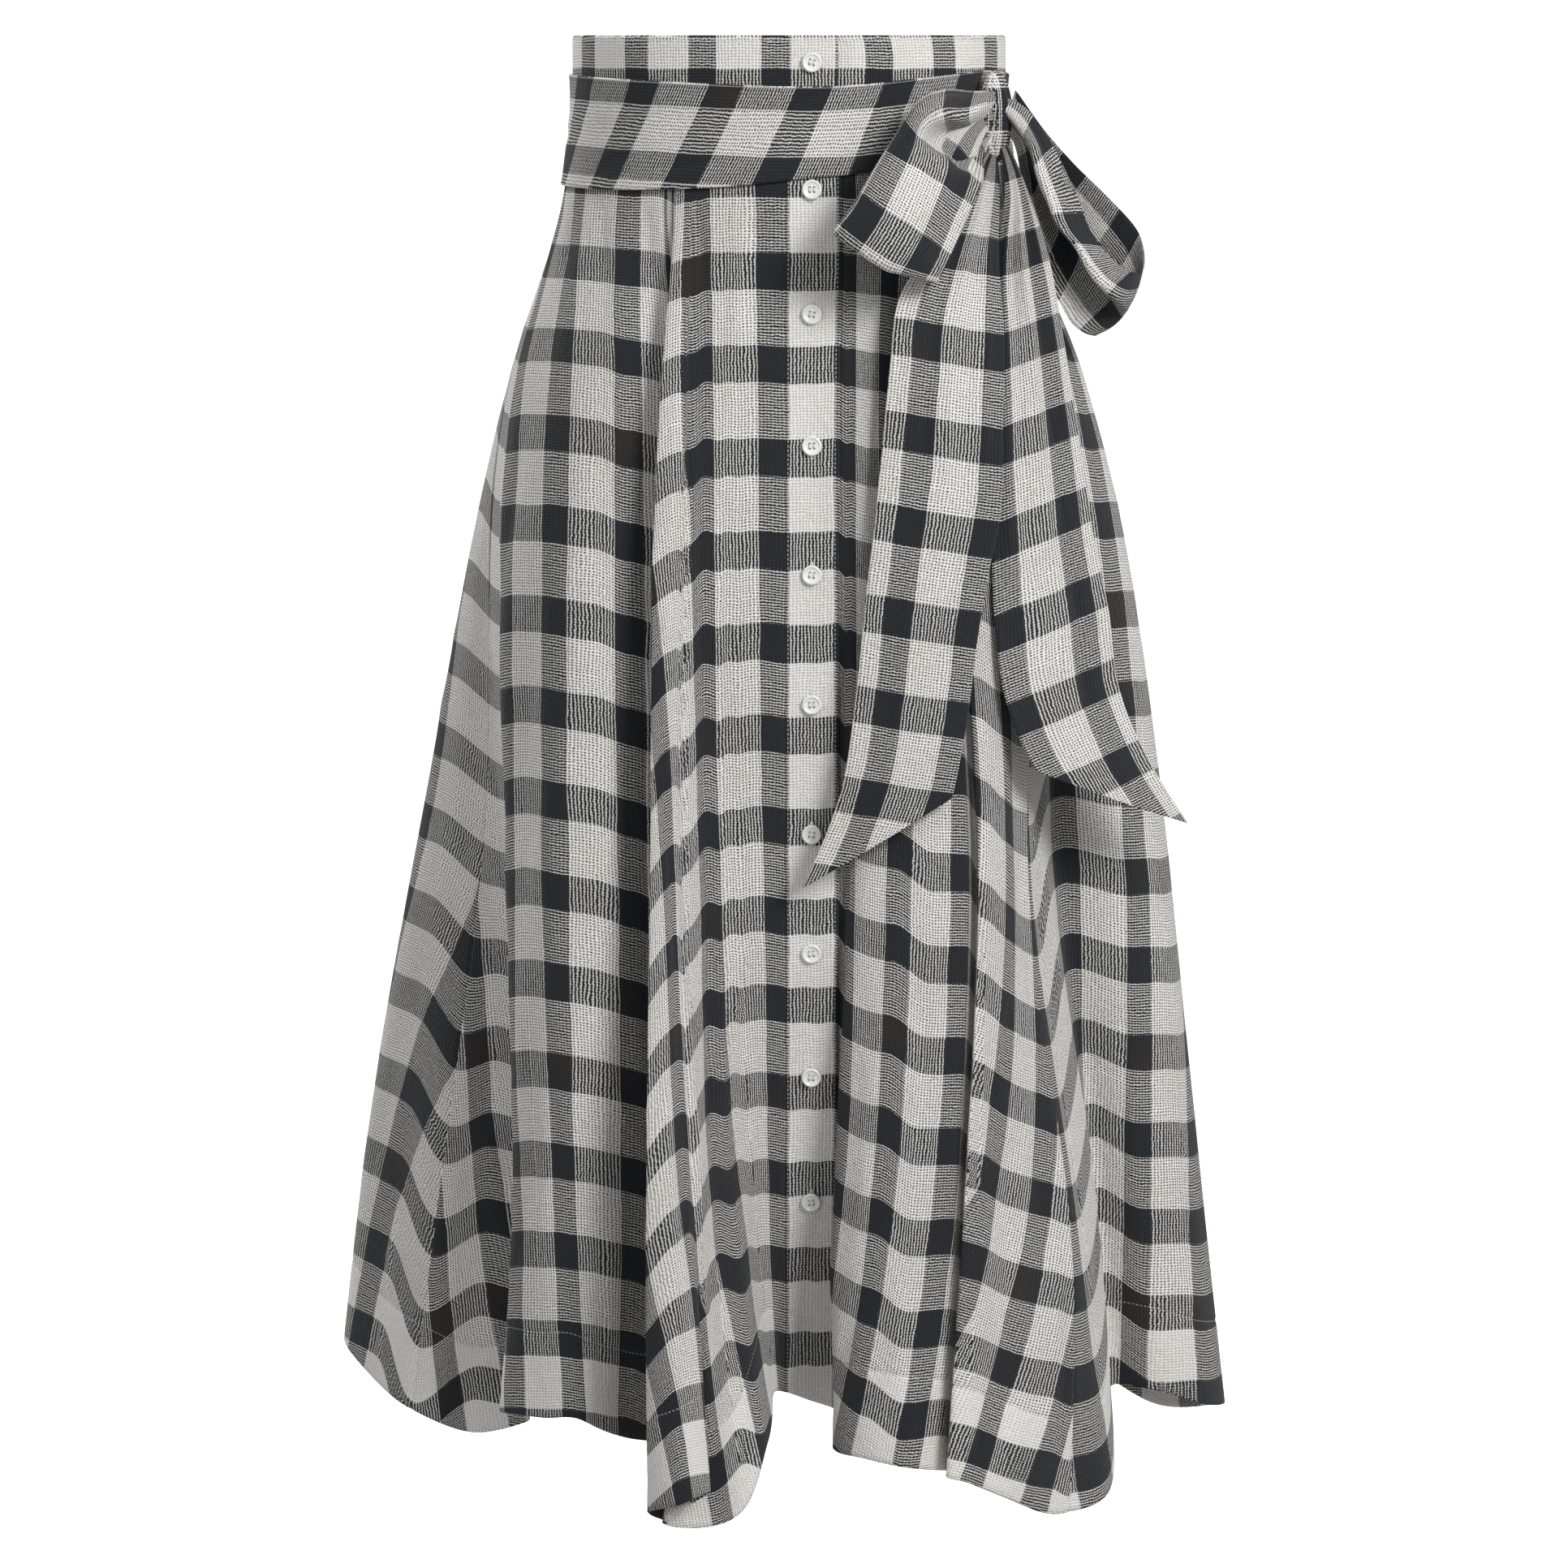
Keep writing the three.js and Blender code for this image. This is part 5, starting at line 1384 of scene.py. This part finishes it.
cloth_finish = gauze("checked_gauze")
cloth_pieces = [right_front, back, left_front, button_band, waistband, sash, knot,
                left_loop, right_loop, left_tail, right_tail]
for piece in cloth_pieces:
    piece.data.materials.append(cloth_finish)
print("gauze on", len(cloth_pieces), "pieces")

# %% [markdown]
# ## Pearl
# The buttons are cast plastic made to look like shell: white with a faint warm and cool drift, a soft
# gloss and a thin clear skin.

# %% Button finish
def pearl(name):
    """Pearly plastic: clouds of warm and cool white under a clear skin."""
    made, shader, place = material(name)
    cloud = place.noise(260.0, 3.0, Distortion=1.5)
    swirl = place.noise(900.0, 2.0)
    colour = cloud.between(0.3, 0.7).mix((0.82, 0.815, 0.79, 1), (0.73, 0.745, 0.75, 1))
    feed(shader, {"Base Color": colour, "Roughness": 0.22 + swirl * 0.12,
                  "Normal": swirl.bump(0.08, 0.0002),
                  "Coat Weight": 0.35, "Coat Roughness": 0.12, "Specular IOR Level": 0.55})
    return made


def sewing_thread(name):
    """White cotton thread: a matte ivory with the fine slanting ply of a twisted yarn."""
    made, shader, place = material(name)
    ply = place.noise(4200.0, 1.0)
    feed(shader, {"Base Color": ply.between(0.3, 0.7).mix((0.7, 0.69, 0.66, 1), THREAD),
                  "Roughness": 0.75, "Normal": ply.bump(0.4, 0.0002)})
    return made


pearl_finish = pearl("pearl")
for obj, *_ in buttons:
    obj.data.materials.append(pearl_finish)
thread_finish = sewing_thread("sewing_thread")
for obj in (button_thread, buttonholes):
    obj.data.materials.append(thread_finish)
print(len(bpy.data.materials), "materials so far")

# %% [markdown]
# ## Floor and light
# A plain pale cove: a floor that curves up into a wall all round, so that the skirt stands against
# white from any side. A soft key light from the front right, a weak fill from the left and a third
# light behind leave only gentle shade in the folds.

# %% The cove
FLOOR = -1200  # height of the floor, mm
COVE_RADIUS = 6500
COVE_BEND = 2000  # radius of the turn from floor to wall
COVE_HEIGHT = 9000
WHITE = (1, 1, 1, 1)


def cove():
    """A round floor that turns up into a wall on a quarter circle, spun about the skirt's axis: radius
    and height are worked out along the profile and turned through a full circle."""
    bend = np.linspace(0, math.pi / 2, 17)
    radius = np.concatenate([[0.01], COVE_RADIUS - COVE_BEND * (1 - np.sin(bend)), [COVE_RADIUS]])
    height = np.concatenate([[0], COVE_BEND * (1 - np.cos(bend)), [COVE_HEIGHT]]) + FLOOR
    turn = np.linspace(0, 2 * math.pi, 64, endpoint=False)
    points = np.stack([np.outer(radius, np.cos(turn)), np.outer(radius, np.sin(turn)),
                       height[:, None] + 0 * turn], -1)
    return make_object("cove", points.reshape(-1, 3), grid_faces(len(radius), len(turn), True))


backdrop = cove()
paper, shader, place = material("paper")
grain = place.noise(3.0, 2.0).between(0.3, 0.7)
feed(shader, {"Base Color": grain.mix((0.88, 0.88, 0.875, 1), (0.9, 0.9, 0.895, 1)),
              "Roughness": 0.9, "Emission Color": WHITE, "Emission Strength": 0.75})
backdrop.data.materials.append(paper)
backdrop.visible_diffuse = False  # the paper looks bright but throws no light up into the folds
backdrop.visible_glossy = False
backdrop.visible_shadow = False  # and the room's light comes in through it
print("cove:", len(backdrop.data.polygons), "faces")

# %% The lights
LIGHTS = [
    # name, place in metres, side in metres, watts
    ("key", (1.9, -2.3, 1.5), 1.1, 94),
    ("fill", (-2.2, -2.4, 0.4), 1.8, 14),
    ("back_light", (-2.1, 2.3, 1.5), 1.3, 76),
]
LIGHT_AIM = Vector((0, 0, -0.4))  # the middle of the skirt


def soft_light(name, at, size, watts):
    """A square area light at a point, turned to face the skirt."""
    lamp = bpy.data.lights.new(name, "AREA")
    lamp.size = size
    lamp.energy = watts
    obj = bpy.data.objects.new(name, lamp)
    bpy.context.scene.collection.objects.link(obj)
    obj.location = at
    obj.rotation_euler = (obj.location - LIGHT_AIM).to_track_quat("Z", "Y").to_euler()


for light in LIGHTS:
    soft_light(*light)
world = bpy.data.worlds.new("room")
bpy.context.scene.world = world
world.use_nodes = True
air = world.node_tree.nodes["Background"]
air.inputs["Color"].default_value = WHITE
air.inputs["Strength"].default_value = 0.42
bpy.context.scene.view_settings.view_transform = "Standard"
print("lights:", [name for name, *_ in LIGHTS])

# %% [markdown]
# ## Telling the frame what each piece is
# Every piece rides on the one body and stands for its solid. A table lists each cloth piece's flat
# size and how it is held.

# %% Pieces and their cloth
NODES = {
    right_front: "front_right_panel", back: "back_panel", left_front: "front_left_panel",
    button_band: "button_band", waistband: "waistband", sash: "sash", knot: "bow_knot",
    left_loop: "bow_loop_left", right_loop: "bow_loop_right",
    left_tail: "sash_tail_left", right_tail: "sash_tail_right",
}
SHEETS = {
    # piece: flat width, flat length in metres, share of the rectangle, how it is held, on what
    right_front: (0.38, 0.86, 0.87, "hung", waistband),
    left_front: (0.30, 0.85, 0.82, "hung", waistband),
    back: (0.72, 0.86, 0.97, "gathered", waistband),
    button_band: (0.031, 0.78, 1, "hung", waistband),
    waistband: (0.75, 0.044, 1, "stretched", right_front),
    sash: (0.73, 0.06, 1, "stretched", waistband),
    knot: (0.05, 0.056, 1, "folded", sash),
    left_loop: (0.065, 0.27, 1, "folded", knot),
    right_loop: (0.056, 0.30, 1, "folded", knot),
    left_tail: (0.058, 0.43, 1, "hung", knot),
    right_tail: (0.056, 0.40, 1, "hung", knot),
}
for piece, node in NODES.items():
    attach(piece, "root")
    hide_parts(node)
for piece in (button_thread, buttonholes):
    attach(piece, "root")
for obj, *_ in buttons:
    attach(obj, "root")
    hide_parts(obj.name.replace("pearl_", ""))
for piece, (width, length, share, held, on) in SHEETS.items():
    area = None if share == 1 else width * length * share

print(len(NODES) + len(buttons), "pieces stand for solids")
